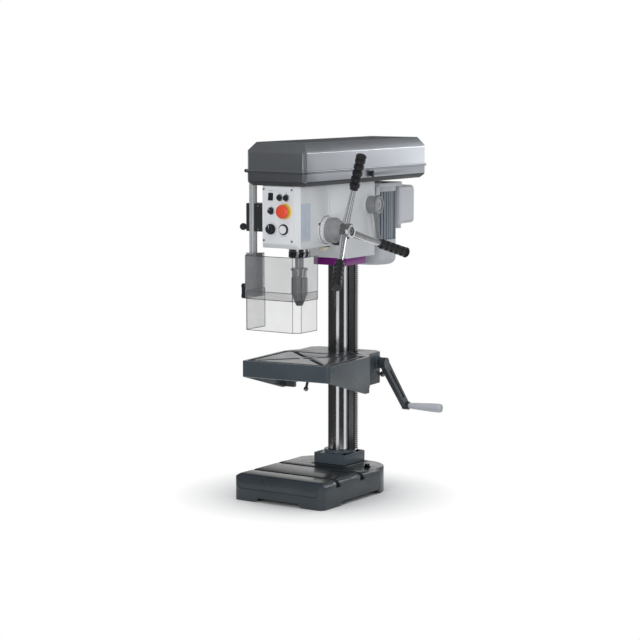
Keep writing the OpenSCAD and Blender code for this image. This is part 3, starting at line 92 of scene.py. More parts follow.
class Nodes(Tree):
    """One material: a Principled shader and the piece's own coordinates."""

    def __init__(self, name):
        self.mat = bpy.data.materials.new(name)
        self.mat.use_nodes = True
        super().__init__(self.mat.node_tree)
        self.out = self.tree.nodes.new("ShaderNodeOutputMaterial")
        self.bsdf = self.tree.nodes.new("ShaderNodeBsdfPrincipled")
        self.link(self.bsdf.outputs[0], self.out.inputs[0])
        self.place = self.node("ShaderNodeTexCoord", out="Object")

    def noise(self, scale, detail=3.0, rough=0.5, stretch=None):
        where = self.place
        if stretch:
            where = self.node("ShaderNodeVectorMath", props={"operation": "MULTIPLY"}, i0=where, i1=stretch)
        return self.node("ShaderNodeTexNoise", Vector=where, Scale=scale, Detail=detail, Roughness=rough)

    def spread(self, noise, a=0.0, b=1.0):
        """A noise stretched to run from a to b."""
        return self.ramp(noise, NOISE_LOW, NOISE_HIGH, a, b)

    def mix(self, fac, a, b):
        return self.node("ShaderNodeMix", out=2, props={"data_type": "RGBA"}, i0=fac, i6=a, i7=b)

    def blend(self, fac, a, b):
        return self.node("ShaderNodeMix", i0=fac, i2=a, i3=b)

    def patchy(self, noise, color, share):
        """A colour that runs darker and lighter by a share."""
        return self.mix(self.spread(noise), shade(color, 1 - share), shade(color, 1 + share))

    def bump(self, height, strength, distance):
        skin = self.node("ShaderNodeBump", Height=height, Strength=strength, Distance=distance)
        self.link(skin, self.bsdf.inputs["Normal"])

    def axis(self, which):
        return self.part(self.place, which)

    def within(self, which, low, high):
        v = self.axis(which)
        return self.math("MULTIPLY", self.math("GREATER_THAN", v, low), self.math("LESS_THAN", v, high))

    def normal(self):
        return self.node("ShaderNodeNewGeometry", out="Normal")

    def facing_up(self, low=0.85):
        own = {"vector_type": "NORMAL", "convert_from": "WORLD", "convert_to": "OBJECT"}
        normal = self.node("ShaderNodeVectorTransform", props=own, i0=self.normal())
        return self.ramp(self.part(normal, AXIS_Z), low, low + 0.1)

    def facing_down(self):
        return self.ramp(self.part(self.normal(), AXIS_Z), -0.5, -0.3, 1.0, 0.0)

    def set(self, **values):
        for k, v in values.items():
            self.put(self.bsdf.inputs[k.replace("_", " ")], v)


def shade(c, f):
    return tuple(min(1.0, x * f) for x in c)


def worn(m, noise, rough):
    """Roughness that varies by 15 percent either way."""
    return m.spread(noise, rough * 0.85, rough * 1.15)


def paint(name, color, rough, spread, peel, coat=0.0, grain=420.0):
    """Painted or moulded surface: faint patches, a fine orange-peel skin and a little dust in the gloss."""
    m = Nodes(name)
    m.set(Base_Color=m.patchy(m.noise(9.0, 4.0), color, spread), Roughness=worn(m, m.noise(60.0, 5.0), rough),
          Coat_Weight=coat, Coat_Roughness=0.15)
    m.bump(m.noise(grain, 3.0), peel, 0.0002)
    return m


def metal(name, color, rough, scale, depth, stretch=(1.0, 1.0, 1.0), spread=0.12, metallic=1.0):
    """Bare metal with tool marks, drawn out along the axes where stretch is small."""
    m = Nodes(name)
    marks = m.noise(scale, 4.0, 0.6, stretch)
    m.set(Base_Color=m.patchy(marks, color, spread), Metallic=metallic,
          Roughness=worn(m, m.noise(25.0, 4.0), rough))
    m.bump(marks, depth, 0.0003)
    return m


SLATE = (0.040, 0.050, 0.058)
MILLED_DARK, MILLED_LIGHT = (0.13, 0.14, 0.15), (0.24, 0.25, 0.265)


def casting(name, plates, slate, steel=1.0):
    """Slate paint, with machined faces on the given plates: lowest z, then limits in x and in y."""
    m = Nodes(name)
    color = m.patchy(m.noise(7.0, 4.0), slate, 0.14)
    rough = m.spread(m.noise(45.0, 5.0), 0.26, 0.38)
    skin = m.noise(170.0, 2.0)
    if plates:
        mask = None
        for low, x0, x1, y0, y1 in plates:
            top = m.math("MULTIPLY", m.math("GREATER_THAN", m.axis(AXIS_Z), low), m.facing_up())
            plan = m.math("MULTIPLY", m.within(AXIS_X, x0, x1), m.within(AXIS_Y, y0, y1))
            one = m.math("MULTIPLY", top, plan)
            mask = one if mask is None else m.math("MAXIMUM", mask, one)
        lines = m.noise(260.0, 3.0, 0.6, (0.12, 1.0, 1.0))
        bare = m.mix(m.spread(lines), shade(MILLED_DARK, steel), shade(MILLED_LIGHT, steel))
        color = m.mix(mask, color, bare)
        m.set(Metallic=m.math("MULTIPLY", mask, 0.85))
        rough = m.blend(mask, rough, m.spread(lines, 0.32, 0.46))
        skin = m.blend(mask, skin, lines)
    m.set(Base_Color=color, Roughness=rough, Coat_Weight=0.3, Coat_Roughness=0.12, Specular_IOR_Level=0.2)
    m.bump(skin, 0.06, 0.0003)
    return m


# Painted shade for the cover's faces that look up, and for its lower lip that looks down
COVER_PAINTED_SHADE = (0.045, 0.05, 0.056)


def cover_paint(name, color):
    """Metallic paint with faint streaks along the cover; the faces that look up or down get a plain dark
    painted shade.
    """
    m = Nodes(name)
    up = m.facing_up(0.88)
    # Mask of the faces that get the painted shade
    painted_shade = m.math("MAXIMUM", up, m.facing_down())
    clean = m.patchy(m.noise(60.0, 4.0, 0.5, (1.0, 0.04, 1.0)), color, 0.02)
    rough = m.spread(m.noise(12.0, 3.0), 0.36, 0.39)
    m.set(Base_Color=m.mix(painted_shade, clean, COVER_PAINTED_SHADE), Metallic=m.ramp(painted_shade, 0.0, 1.0, 0.96, 0.1),
          Roughness=m.math("ADD", rough, m.math("MULTIPLY", up, 0.35)))
    m.bump(m.noise(150.0, 2.0), 0.008, 0.0002)
    return m


RACK_OUT = (0.996493, 0.083678, 0.0)  # from the column's axis to the rack, at the table's swing
RACK_FACE, TOOTH_ROOT = (0.0655, 0.0665), (0.0703, 0.0712)  # along that line
# Dark colour in the tooth roots: grease together with painted shade
GREASE_AND_SHADE = (0.008, 0.008, 0.009)


def rack_metal(name):
    """Steel darkened in the tooth roots, which lie nearer the column: grease together with painted shade."""
    m = Nodes(name)
    out = m.node("ShaderNodeVectorMath", out=1, props={"operation": "DOT_PRODUCT"}, i0=m.place, i1=RACK_OUT)
    # The roots go dark: painted shade in the hollows, with grease
    root = m.ramp(out, *TOOTH_ROOT, 1.0, 0.0)
    front = m.ramp(out, *RACK_FACE, 1.0, 0.0)
    dark = m.math("SUBTRACT", root, front)
    marks = m.noise(500.0, 4.0, 0.6, (1.0, 1.0, 0.2))
    steel = m.mix(m.spread(marks), (0.42, 0.43, 0.45), (0.58, 0.59, 0.61))
    m.set(Base_Color=m.mix(dark, steel, GREASE_AND_SHADE), Metallic=m.ramp(dark, 0.0, 1.0, 1.0, 0.2),
          Roughness=m.spread(marks, 0.26, 0.38))
    m.bump(marks, 0.1, 0.0003)
    return m


CONE_X = (0.1290, 0.1310)  # where the hub's drum ends


def hub_metal(name):
    """The feed hub: a satin drum with fine turned lines, then a bright polished cone."""
    m = Nodes(name)
    cone = m.ramp(m.axis(AXIS_X), *CONE_X)
    lines = m.ramp(m.noise(1300.0, 2.0, 0.5, (1.0, 0.02, 0.02)), 0.35, 0.65)
    drum = m.mix(lines, (0.31, 0.315, 0.325), (0.44, 0.445, 0.46))
    polished = m.mix(lines, (0.60, 0.61, 0.63), (0.66, 0.67, 0.69))
    m.set(Base_Color=m.mix(cone, drum, polished), Metallic=m.ramp(cone, 0.0, 1.0, 0.45, 0.9),
          Roughness=m.ramp(cone, 0.0, 1.0, 0.55, 0.22))
    m.bump(lines, 0.06, 0.0002)
    return m


NOSE_Z = (0.6245, 0.6265)  # where the chuck's barrel ends


def chuck_metal(name):
    """The chuck's sleeve: a satin barrel with fine rings and a much darker nose below it."""
    m = Nodes(name)
    rings = m.spread(m.noise(900.0, 3.0, 0.5, RINGS_Z))
    nose = m.ramp(m.axis(AXIS_Z), *NOSE_Z, 1.0, 0.0)
    barrel = m.mix(rings, (0.25, 0.255, 0.265), (0.34, 0.345, 0.355))
    black = m.mix(rings, (0.060, 0.061, 0.064), (0.085, 0.086, 0.090))
    m.set(Base_Color=m.mix(nose, barrel, black), Metallic=0.6, Roughness=m.ramp(rings, 0.0, 1.0, 0.33, 0.39))
    m.bump(rings, 0.06, 0.0003)
    return m


def clear_sheet(name, color, alpha):
    """Clear plastic: denser at a slant, faintly hazy, darker on the cut edges above and below."""
    m = Nodes(name)
    slant = m.node("ShaderNodeLayerWeight", out="Facing", Blend=0.35)
    haze = m.spread(m.noise(14.0, 3.0), 0.0, 0.04)
    flat = m.math("ABSOLUTE", m.part(m.normal(), AXIS_Z))
    body = m.math("ADD", m.ramp(slant, 0.0, 1.0, alpha, alpha + 0.16), haze)
    dense = m.math("ADD", body, m.ramp(flat, 0.5, 0.9, 0.0, 0.5))
    m.set(Base_Color=m.mix(m.ramp(flat, 0.5, 0.9), color, (0.02, 0.022, 0.024)),
          Alpha=m.math("MINIMUM", dense, 1.0), Roughness=m.spread(m.noise(30.0), 0.05, 0.12))
    return m


# Stretch of the tool marks: rings round x or z
RINGS_X, RINGS_Z = (1.0, 0.03, 0.03), (0.02, 0.02, 1.0)
BASE_TOP, TABLE_TOP = 0.0795, 0.4285  # just below the machined faces
BASE_PADS = [(BASE_TOP, -0.149, 0.149, -0.19, 0.056), (BASE_TOP, -0.064, 0.064, 0.07, 0.2)]
TABLE_PADS = [(TABLE_TOP, -0.5, 0.5, -0.5, 0.5)]
M = {
    "base": casting("base_cast", BASE_PADS, shade(SLATE, 0.95), steel=0.22),
    # The table's and the column flange's slate are lighter copies of the base's: painted light, in place of
    # the light that falls on them
    "table": casting("table_cast_painted_light", TABLE_PADS, shade(SLATE, 1.7), steel=0.65),
    "slate": casting("flange_slate_painted_light", [], shade(SLATE, 2.0)),
    "column": metal("column_steel", (0.62, 0.63, 0.65), rough=0.14, scale=1500.0, depth=0.03,
                    stretch=RINGS_Z, spread=0.06),
    "rack": rack_metal("rack_steel"),
    "bright": metal("bright_steel", (0.68, 0.69, 0.71), rough=0.20, scale=1200.0, depth=0.03,
                    spread=0.05, metallic=0.75),
    "gear": metal("gear_steel", (0.36, 0.37, 0.39), rough=0.35, scale=400.0, depth=0.15),
    "satin": metal("satin_steel", (0.46, 0.47, 0.49), rough=0.40, scale=900.0, depth=0.12,
                   stretch=RINGS_X, spread=0.16, metallic=0.6),
    "chuck": metal("chuck_steel", (0.30, 0.305, 0.315), rough=0.36, scale=900.0, depth=0.06,
                   stretch=RINGS_Z, spread=0.14, metallic=0.6),
    "sleeve": chuck_metal("chuck_sleeve_steel"),
    "hub": hub_metal("feed_hub_steel"),
    "dark_satin": metal("dark_satin_steel", (0.34, 0.345, 0.355), rough=0.38, scale=900.0, depth=0.06,
                        stretch=RINGS_X, spread=0.16, metallic=0.5),
    "pulley": metal("pulley_alloy", (0.52, 0.53, 0.55), rough=0.3, scale=600.0, depth=0.15,
                    stretch=(0.1, 0.1, 1.0)),
    "post": paint("post_alloy", (0.50, 0.51, 0.52), rough=0.28, spread=0.08, peel=0.06, coat=0.3,
                  grain=800.0),
    "black_steel": metal("black_steel", (0.025, 0.026, 0.028), rough=0.4, scale=500.0, depth=0.1),
    "chrome": metal("polished_collar", (0.30, 0.305, 0.315), rough=0.10, scale=700.0, depth=0.04,
                    stretch=(0.05, 0.05, 1.0), spread=0.06),
    "purple": paint("purple_paint", (0.24, 0.007, 0.25), rough=0.30, spread=0.04, peel=0.03, coat=0.2),
    "grey": paint("dark_grey_paint", (0.036, 0.045, 0.052), rough=0.34, spread=0.1, peel=0.16, coat=0.1),
    "handle": paint("handle_grey", (0.50, 0.515, 0.55), rough=0.32, spread=0.06, peel=0.06, coat=0.1),
    "head": paint("head_paint", (0.80, 0.815, 0.83), rough=0.36, spread=0.025, peel=0.12, coat=0.15),
    "panel": paint("panel_sheet", (0.80, 0.82, 0.845), rough=0.32, spread=0.02, peel=0.03, coat=0.1),
    "control": paint("control_black", (0.022, 0.027, 0.035), rough=0.36, spread=0.12, peel=0.1),
    "red": paint("stop_red", (0.83, 0.085, 0.04), rough=0.28, spread=0.05, peel=0.04, coat=0.2),
    "yellow": paint("stop_yellow", (0.85, 0.62, 0.10), rough=0.32, spread=0.05, peel=0.04, coat=0.1),
    "white": paint("button_white", (0.82, 0.83, 0.85), rough=0.3, spread=0.02, peel=0.04, coat=0.1),
    "lens": paint("lamp_lens", (0.82, 0.77, 0.60), rough=0.2, spread=0.05, peel=0.03, coat=0.4),
    "rubber": paint("grip_rubber", (0.020, 0.020, 0.022), rough=0.38, spread=0.15, peel=0.20, grain=700.0),
    "ring": paint("scale_ring", (0.80, 0.81, 0.82), rough=0.32, spread=0.03, peel=0.04, coat=0.2),
    "cover": cover_paint("cover_paint", (0.85, 0.89, 0.95)),
    "pan": cover_paint("pan_paint", (0.48, 0.505, 0.545)),
    "belt": paint("belt_rubber", (0.02, 0.02, 0.021), rough=0.7, spread=0.2, peel=0.3, grain=900.0),
    "motor": paint("motor_alloy", (0.30, 0.335, 0.38), rough=0.45, spread=0.05, peel=0.06),
    "shell": paint("motor_shell", (0.60, 0.62, 0.65), rough=0.34, spread=0.03, peel=0.06, coat=0.1),
    "box": paint("box_plastic", (0.72, 0.735, 0.77), rough=0.42, spread=0.03, peel=0.14),
    "holder": paint("holder_plastic", (0.38, 0.39, 0.405), rough=0.3, spread=0.05, peel=0.04),
    "switch": paint("switch_plastic", (0.035, 0.036, 0.038), rough=0.42, spread=0.12, peel=0.18),
    "upper": clear_sheet("upper_clear", (0.26, 0.265, 0.275), alpha=0.24),
    "lower": clear_sheet("lower_clear", (0.28, 0.285, 0.295), alpha=0.10),
}
INK = paint("ink_grey", (0.05, 0.055, 0.065), rough=0.5, spread=0.1, peel=0.05)
CHALK = paint("ink_white", (0.80, 0.81, 0.82), rough=0.45, spread=0.04, peel=0.05)
PLATE = paint("scale_plate", (0.60, 0.67, 0.76), rough=0.25, spread=0.06, peel=0.03, coat=0.3)
PLATE_INK = paint("plate_ink", (0.36, 0.42, 0.50), rough=0.4, spread=0.05, peel=0.03)
EDGE = clear_sheet("sheet_edge", (0.05, 0.053, 0.057), alpha=0.70)

LOOKS = {
    "base": "base", "frame_screws": "black_steel", "column_flange": "slate", "column": "column",
    "table_rack": "rack", "clamp_collar": "purple", "table": "table", "table_gear": "gear",
    "table_worm": "gear", "crank_arm": "grey", "crank_grip": "handle", "table_clamp": "gear",
    "head_casting": "head", "control_panel": "panel", "panel_screws": "bright", "rocker_switch": "control",
    "lamp_button_a": "control", "lamp_button_b": "control", "emergency_collar": "yellow",
    "emergency_button": "red", "selector_knob": "control", "speed_knob": "control", "start_bezel": "control",
    "start_button": "white", "work_lamp": "lens", "quill": "column", "quill_collar": "chrome",
    "quill_bearings": "bright", "spindle": "bright", "chuck_body": "bright", "chuck_sleeve": "sleeve",
    "chuck_jaw_a": "gear", "chuck_jaw_b": "gear", "chuck_jaw_c": "gear", "pinion_shaft": "gear",
    "feed_hub": "hub", "feed_spokes": "bright", "feed_grips": "rubber", "depth_ring": "ring",
    "spring_case": "control", "quill_lock": "control", "belt_pan": "pan", "belt_lid": "cover",
    "hinge_pins": "black_steel", "lid_latch": "control", "spindle_pulley": "pulley",
    "motor_pulley": "pulley", "drive_belt": "belt", "motor_plate": "shell", "motor_core": "motor",
    "motor_shroud": "shell", "terminal_box": "box", "tension_lever": "dark_satin",
    "guard_switch": "switch", "guard_post": "post", "guard_holder": "holder", "upper_shield": "upper",
    "lower_shield": "lower", "wing_knob": "control", "post_knob": "control",
}
# Width of the rounded edges, in metres
ROUNDING = {
    "base": 0.0014, "table": 0.0016, "column_flange": 0.002, "clamp_collar": 0.0015, "head_casting": 0.0035,
    "belt_lid": 0.0012, "belt_pan": 0.0010, "terminal_box": 0.003, "motor_plate": 0.002,
    "control_panel": 0.0006, "guard_switch": 0.0012, "motor_shroud": 0.0012, "feed_hub": 0.0008,
    "tension_lever": 0.001, "chuck_sleeve": 0.0005, "chuck_body": 0.0006, "wing_knob": 0.001,
    "guard_holder": 0.001, "quill_collar": 0.001, "depth_ring": 0.0008, "crank_grip": 0.0008,
}
# Nodes whose smallest edge would hold back the rounding of all the others
OPEN_EDGES = {"base", "table", "column_flange", "clamp_collar", "belt_lid", "belt_pan"}
WELD_GAP = 0.000002
PLANE_ANGLE, EDGE_ANGLE = math.radians(0.3), math.radians(32)
EDGE_STEPS = 3


def round_edges(o, width, clamped):
    """Join the CAD's triangles into flat faces, then round the edges between them."""
    weld = o.modifiers.new("weld", "WELD")
    weld.merge_threshold = WELD_GAP
    flat = o.modifiers.new("flat", "DECIMATE")
    flat.decimate_type = "DISSOLVE"
    flat.angle_limit = PLANE_ANGLE
    edges = o.modifiers.new("edges", "BEVEL")
    edges.width = width
    edges.segments = EDGE_STEPS
    edges.limit_method = "ANGLE"
    edges.angle_limit = EDGE_ANGLE
    edges.use_clamp_overlap = clamped
    edges.harden_normals = True
    o.data.shade_smooth()


for name, look in LOOKS.items():
    o = nodes[name]
    o.data.materials.clear()
    o.data.materials.append(M[look].mat)
    if name in ROUNDING:
        round_edges(o, ROUNDING[name], name not in OPEN_EDGES)


# Pieces that only the finished look needs, each riding on its body
SHARP_ANGLE = math.radians(35)


def piece(name, bm, body, mat, smooth=True):
    me = bpy.data.meshes.new(name)
    bm.normal_update()
    bm.to_mesh(me)
    bm.free()
    if smooth:
        me.shade_smooth()
        me.set_sharp_from_angle(angle=SHARP_ANGLE)
    o = bpy.data.objects.new(name, me)
    scene.collection.objects.link(o)
    o.data.materials.append(mat.mat)
    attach(o, body)


def bar(bm, centre, u, v, n):
    """A small block with half-axes u, v and n."""
    c, u, v, n = map(Vector, (centre, u, v, n))
    corners = ((-1, -1), (1, -1), (1, 1), (-1, 1))
    vs = [bm.verts.new(c + a * u + b * v + d * n) for d in (-1, 1) for a, b in corners]
    for q in ((3, 2, 1, 0), (4, 5, 6, 7), (0, 1, 5, 4), (1, 2, 6, 5), (2, 3, 7, 6), (3, 0, 4, 7)):
        bm.faces.new([vs[k] for k in q])


def circle(bm, centre, u, v, r, seg):
    angles = (2 * math.pi * k / seg for k in range(seg))
    return [bm.verts.new(centre + (u * math.cos(t) + v * math.sin(t)) * r) for t in angles]


def turned(bm, origin, axis, profile, seg):
    """A turned shape: profile is a run of (radius, height along the axis), where radius 0 is a point."""
    n = Vector(axis).normalized()
    u = n.orthogonal().normalized()
    v = n.cross(u)
    o = Vector(origin)
    rings = [circle(bm, o + n * h, u, v, r, seg) if r else [bm.verts.new(o + n * h)] for r, h in profile]
    for a, b in zip(rings, rings[1:]):
        for k in range(seg):
            q = [a[k % len(a)], a[(k + 1) % len(a)], b[(k + 1) % len(b)], b[k % len(b)]]
            bm.faces.new(list(dict.fromkeys(q)))


def turned_piece(name, origin, axis, profile, seg, body, mat):
    bm = bmesh.new()
    turned(bm, origin, axis, profile, seg)
    piece(name, bm, body, mat)


def tube(bm, points, r, seg=8):
    """A thin round bead along a run of points."""
    pts = [Vector(p) for p in points]
    last = None
    for k, p in enumerate(pts):
        d = (pts[min(k + 1, len(pts) - 1)] - pts[max(k - 1, 0)]).normalized()
        side = Vector((0, 0, 1)) if abs(d.z) < 0.9 else Vector((1, 0, 0))
        u = d.cross(side).normalized()
        ring = circle(bm, p, u, d.cross(u), r, seg)
        if last:
            for q in range(seg):
                bm.faces.new([last[q], last[(q + 1) % seg], ring[(q + 1) % seg], ring[q]])
        else:
            bm.faces.new(ring[::-1])
        last = ring
    bm.faces.new(last)


def screw(bm, origin, axis, r, h):
    """A screw head with a chamfered rim and a round socket."""
    head = [(r, 0), (r, h * 0.55), (r * 0.8, h), (r * 0.45, h), (r * 0.4, h * 0.55), (0, h * 0.5)]
    turned(bm, origin, axis, head, 24)


RIGHT, FRONT, REAR, DOWN = (1, 0, 0), (0, -1, 0), (0, 1, 0), (0, 0, -1)
FEED_Y, FEED_Z = -0.044, 0.819  # axis of the feed handles
SEATED = 0.0001  # how far a laid-on piece sits in or off its face

# Scale on the depth ring, its pointer, and a dark seal ring that paints the shade in the gap beside it
TICKS, LONG_EVERY = 40, 5
TICK_LONG, TICK_SHORT = 0.0042, 0.0022
TICK_X, TICK_R = 0.0820, 0.0411
TICK_WIDE, TICK_DEEP = 0.0006, 0.00015
bm = bmesh.new()
for k in range(TICKS):
    t = math.radians(360 / TICKS * k)
    half = TICK_SHORT if k % LONG_EVERY else TICK_LONG
    bar(bm, (TICK_X - half, FEED_Y + TICK_R * math.sin(t), FEED_Z + TICK_R * math.cos(t)), (half, 0, 0),
        (0, TICK_WIDE * math.cos(t), -TICK_WIDE * math.sin(t)),
        (0, TICK_DEEP * math.sin(t), TICK_DEEP * math.cos(t)))
piece("depth_ring_ticks", bm, "depth_ring", INK, False)

# A thin dark ring on the boss's edge, shaped as a seal: painted shade for the gap between the boss and the
# scale ring
SEAL_GAP_SHADE = [(0.0414, 0), (0.0424, 0.0002), (0.0427, 0.0007), (0.0424, 0.0012), (0.0414, 0.0013)]
turned_piece("ring_seal_gap_shade", (0.0698, FEED_Y, FEED_Z), RIGHT, SEAL_GAP_SHADE, 72, "frame", M["control"])

POINTER_ANGLE, POINTER_X, POINTER_R = math.radians(-62), 0.0640, 0.0425
out = Vector((0, math.sin(POINTER_ANGLE), math.cos(POINTER_ANGLE)))
tangent = Vector((0, math.cos(POINTER_ANGLE), -math.sin(POINTER_ANGLE)))
root = Vector((POINTER_X, FEED_Y, FEED_Z)) + out * POINTER_R
bm = bmesh.new()
bar(bm, root, (0.0050, 0, 0), tangent * 0.0035, out * 0.0007)
bar(bm, root + Vector((0.0055, 0, 0)), (0.0016, 0, 0), tangent * 0.0018, out * 0.0009)
piece("depth_pointer", bm, "frame", M["control"], False)

# Printed marks and rims on the control panel
PANEL_Y = -0.1950
PRINT_Y, PRINT_DEEP = -0.1951, 0.00012
KNOB_X, SPEED_Z, SELECTOR_Z = -0.028, 0.827, 0.881
LAMP_A_X, LAMP_B_X, LAMP_Z, LAMP_MARK_Z = 0.0035, 0.0267, 0.921, 0.9355


def dial(bm, x, z, r, half, start, step, count, wide=0.0004):
    """Printed strokes round a centre, from the angle start, in degrees from the top."""
    for k in range(count):
        t = math.radians(start + step * k)
        d = Vector((math.sin(t), 0, math.cos(t)))
        bar(bm, Vector((x, PRINT_Y, z)) + d * r, d * half, Vector((math.cos(t), 0, -math.sin(t))) * wide,
            (0, PRINT_DEEP, 0))


def dashes(bm, x, z, step, half, count):
    """A row of printed strokes with its middle at x."""
    for k in range(count):
        place = (x + step * (k - (count - 1) / 2), PRINT_Y, z)
        bar(bm, place, (half, 0, 0), (0, 0, 0.0005), (0, PRINT_DEEP, 0))


bm = bmesh.new()
dial(bm, KNOB_X, SPEED_Z, r=0.0195, half=0.0016, start=-140, step=28, count=11)
dial(bm, KNOB_X, SELECTOR_Z, r=0.0128, half=0.0016, start=-45, step=45, count=3)
dial(bm, LAMP_A_X, LAMP_MARK_Z, r=0.0, half=0.0014, start=0, step=90, count=2, wide=0.0003)
dashes(bm, -0.030, 0.9415, step=0.004, half=0.0014, count=4)
dashes(bm, 0.016, 0.8075, step=0.003, half=0.0010, count=7)
turned(bm, (LAMP_B_X, PANEL_Y, LAMP_MARK_Z), FRONT,
       [(0.0012, 0), (0.0012, 0.0002), (0.0017, 0.0002), (0.0017, 0)], 20)
piece("panel_marks", bm, "frame", INK, False)

RIM = [(0.0004, 0), (0.0004, 0.0020), (0.0010, 0.0026), (0.0022, 0.0022), (0.0028, 0.0008), (0.0028, 0)]
RIM_Y = -0.1949
bm = bmesh.new()
for x, z, r in ((LAMP_A_X, LAMP_Z, 0.0085), (LAMP_B_X, LAMP_Z, 0.0085), (KNOB_X, SELECTOR_Z, 0.0092)):
    turned(bm, (x, RIM_Y, z), FRONT, [(r + wide, h) for wide, h in RIM], 40)
piece("button_rims", bm, "frame", M["bright"])

for body, z, r in (("speed_knob", SPEED_Z, 0.0128), ("selector_knob", SELECTOR_Z, 0.007)):
    lo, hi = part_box(body)
    bm = bmesh.new()
    for up, half, wide in ((0.62, 0.34, 0.0006), (0.22, 0.06, 0.0004)):
        bar(bm, (KNOB_X, lo[1] - SEATED, z + r * up), (wide, 0, 0), (0, 0, r * half), (0, 2 * SEATED, 0))
    piece(body + "_line", bm, body, CHALK, False)

# Turned fittings
BEZEL = [(0.0151, 0), (0.0151, 0.0032), (0.0165, 0.0042), (0.0190, 0.0030), (0.0195, 0.0)]
turned_piece("lamp_bezel", (0.048, -0.028, 0.7705), DOWN, BEZEL, 48, "frame", M["control"])
HUB_SCREW = [(0.0092, 0), (0.0092, 0.0045), (0.0082, 0.0056), (0.0050, 0.0056), (0.0046, 0.0022), (0, 0.0022)]
turned_piece("hub_screw", (0.1512, FEED_Y, FEED_Z), RIGHT, HUB_SCREW, 36, "feed", M["chuck"])
CAP = [(0.0185, 0), (0.0185, 0.0008), (0.0120, 0.0014), (0.0090, 0.0014), (0.0085, 0.0024), (0.0045, 0.0026),
       (0.0040, 0.0012), (0, 0.0012)]
turned_piece("tension_cap", (0.1082, 0.187, 0.883), RIGHT, CAP, 40, "tension_lever",
             M["satin"])

# Edges of the guard's clear sheets, which catch the light
SHEET_IN = 0.0004
RIM_IN, RIM_R, FOLD_R = 0.0006, 0.0010, 0.0008


def shield_run(x0, x1, y0, y1, left, right, z):
    """The sheet's plan, open at the rear, with its front corners cut by left and right."""
    return [(x0, y1, z), (x0, y0 + left, z), (x0 + left, y0, z), (x1 - right, y0, z), (x1, y0 + right, z),
            (x1, y1, z)]


for nm, left, right in (("upper", 0.0080, 0.0200), ("lower", 0.0061, 0.0181)):
    lo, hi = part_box(nm + "_shield")
    run = (lo[0] + SHEET_IN, hi[0] - SHEET_IN, lo[1] + SHEET_IN, hi[1] - SHEET_IN, left, right)
    bm = bmesh.new()
    for z in (lo[2] + RIM_IN, hi[2] - RIM_IN):
        tube(bm, shield_run(*run, z), RIM_R)
    for x, y, z in shield_run(*run, 0):
        tube(bm, [(x, y, lo[2]), (x, y, hi[2])], FOLD_R)
    piece(nm + "_shield_edges", bm, "guard_" + nm, EDGE)

# Bare scale plate on the head's side, its two rivets and its ruled lines
RIVET = [(0.0016, 0), (0.0016, 0.0006), (0.0010, 0.0010), (0, 0.0010)]
RIVET_X, LINE_X = 0.0664, 0.0668
PLATE_X, PLATE_Y, PLATE_Z = 0.0661, -0.155, 0.8475
PLATE_HALF_X, PLATE_HALF_Y, PLATE_HALF_Z = 0.0006, 0.026, 0.0555
ROWS, ROW_START, ROW_STEP = 14, 0.800, 0.0073
ROW_HALF, ROW_LONG, COLUMN_HALF = 0.020, 0.023, 0.050
LINE_HIGH, LINE_WIDE = 0.0001, 0.00025
bm = bmesh.new()
for y, z in ((-0.176, 0.898), (-0.134, 0.797)):
    turned(bm, (RIVET_X, y, z), RIGHT, RIVET, 16)
bar(bm, (PLATE_X, PLATE_Y, PLATE_Z), (PLATE_HALF_X, 0, 0), (0, PLATE_HALF_Y, 0), (0, 0, PLATE_HALF_Z))
piece("side_plate", bm, "frame", PLATE, False)
bm = bmesh.new()
for k in range(ROWS):
    half = ROW_HALF if k % 3 else ROW_LONG
    bar(bm, (LINE_X, PLATE_Y, ROW_START + ROW_STEP * k), (LINE_HIGH, 0, 0), (0, half, 0), (0, 0, LINE_WIDE))
for y in (PLATE_Y - ROW_LONG, PLATE_Y, PLATE_Y + ROW_LONG):
    bar(bm, (LINE_X, y, PLATE_Z), (LINE_HIGH, 0, 0), (0, LINE_WIDE, 0), (0, 0, COLUMN_HALF))
piece("side_plate_lines", bm, "frame", PLATE_INK, False)

# Screws of the guard's switch and of the terminal box
SWITCH_INSET, SWITCH_INSET_LEFT, SWITCH_SCREW = 0.007, 0.044, (0.0030, 0.0018)
BOX_X, BOX_LOW, BOX_HIGH, BOX_REAR, BOX_SCREW = 0.052, 0.822, 0.917, 0.4769, (0.0036, 0.0020)
bm = bmesh.new()
lo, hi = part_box("guard_switch")
for x in (lo[0] + SWITCH_INSET_LEFT, hi[0] - SWITCH_INSET):
    for z in (lo[2] + SWITCH_INSET, hi[2] - SWITCH_INSET):
        screw(bm, (x, lo[1] + SEATED, z), FRONT, *SWITCH_SCREW)
piece("switch_screws", bm, "frame", M["chuck"])
bm = bmesh.new()
for x in (-BOX_X, BOX_X):
    for z in (BOX_LOW, BOX_HIGH):
        screw(bm, (x, BOX_REAR, z), REAR, *BOX_SCREW)
piece("box_screws", bm, "motor", M["chuck"])

# Ledge under the base's recessed front: a rounded step that slopes away below and at both ends
LEDGE_X, LEDGE_Z, LEDGE_TOP, LEDGE_R = 0.146, 0.0385, 0.063, 0.015
BASE_LOW, BASE_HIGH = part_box("base")
CORNER_R = 0.020
# The step's outline: way in from the ledge's line, height off the base's front
STEP = [(0.0012, -0.0004), (0.0002, 0.0004), (-0.0004, 0.0014), (-0.0016, 0.0021), (-0.0034, 0.0022),
        (-0.0090, 0.0012), (-0.0130, -0.0004)]


def base_front(x):
    """The base front's place at x, which runs back round the corners."""
    over = max(0.0, abs(x) - (BASE_HIGH[0] - CORNER_R))
    return BASE_LOW[1] + CORNER_R - math.sqrt(CORNER_R ** 2 - over ** 2)


def ledge_corner(side):
    """The ledge's line round a lower corner, from the middle outwards: x, z and the way in."""
    for k in range(7):
        a = math.radians(15 * k)
        yield (side * (LEDGE_X - LEDGE_R + LEDGE_R * math.sin(a)), LEDGE_Z + LEDGE_R - LEDGE_R * math.cos(a),
               -side * math.sin(a), math.cos(a))


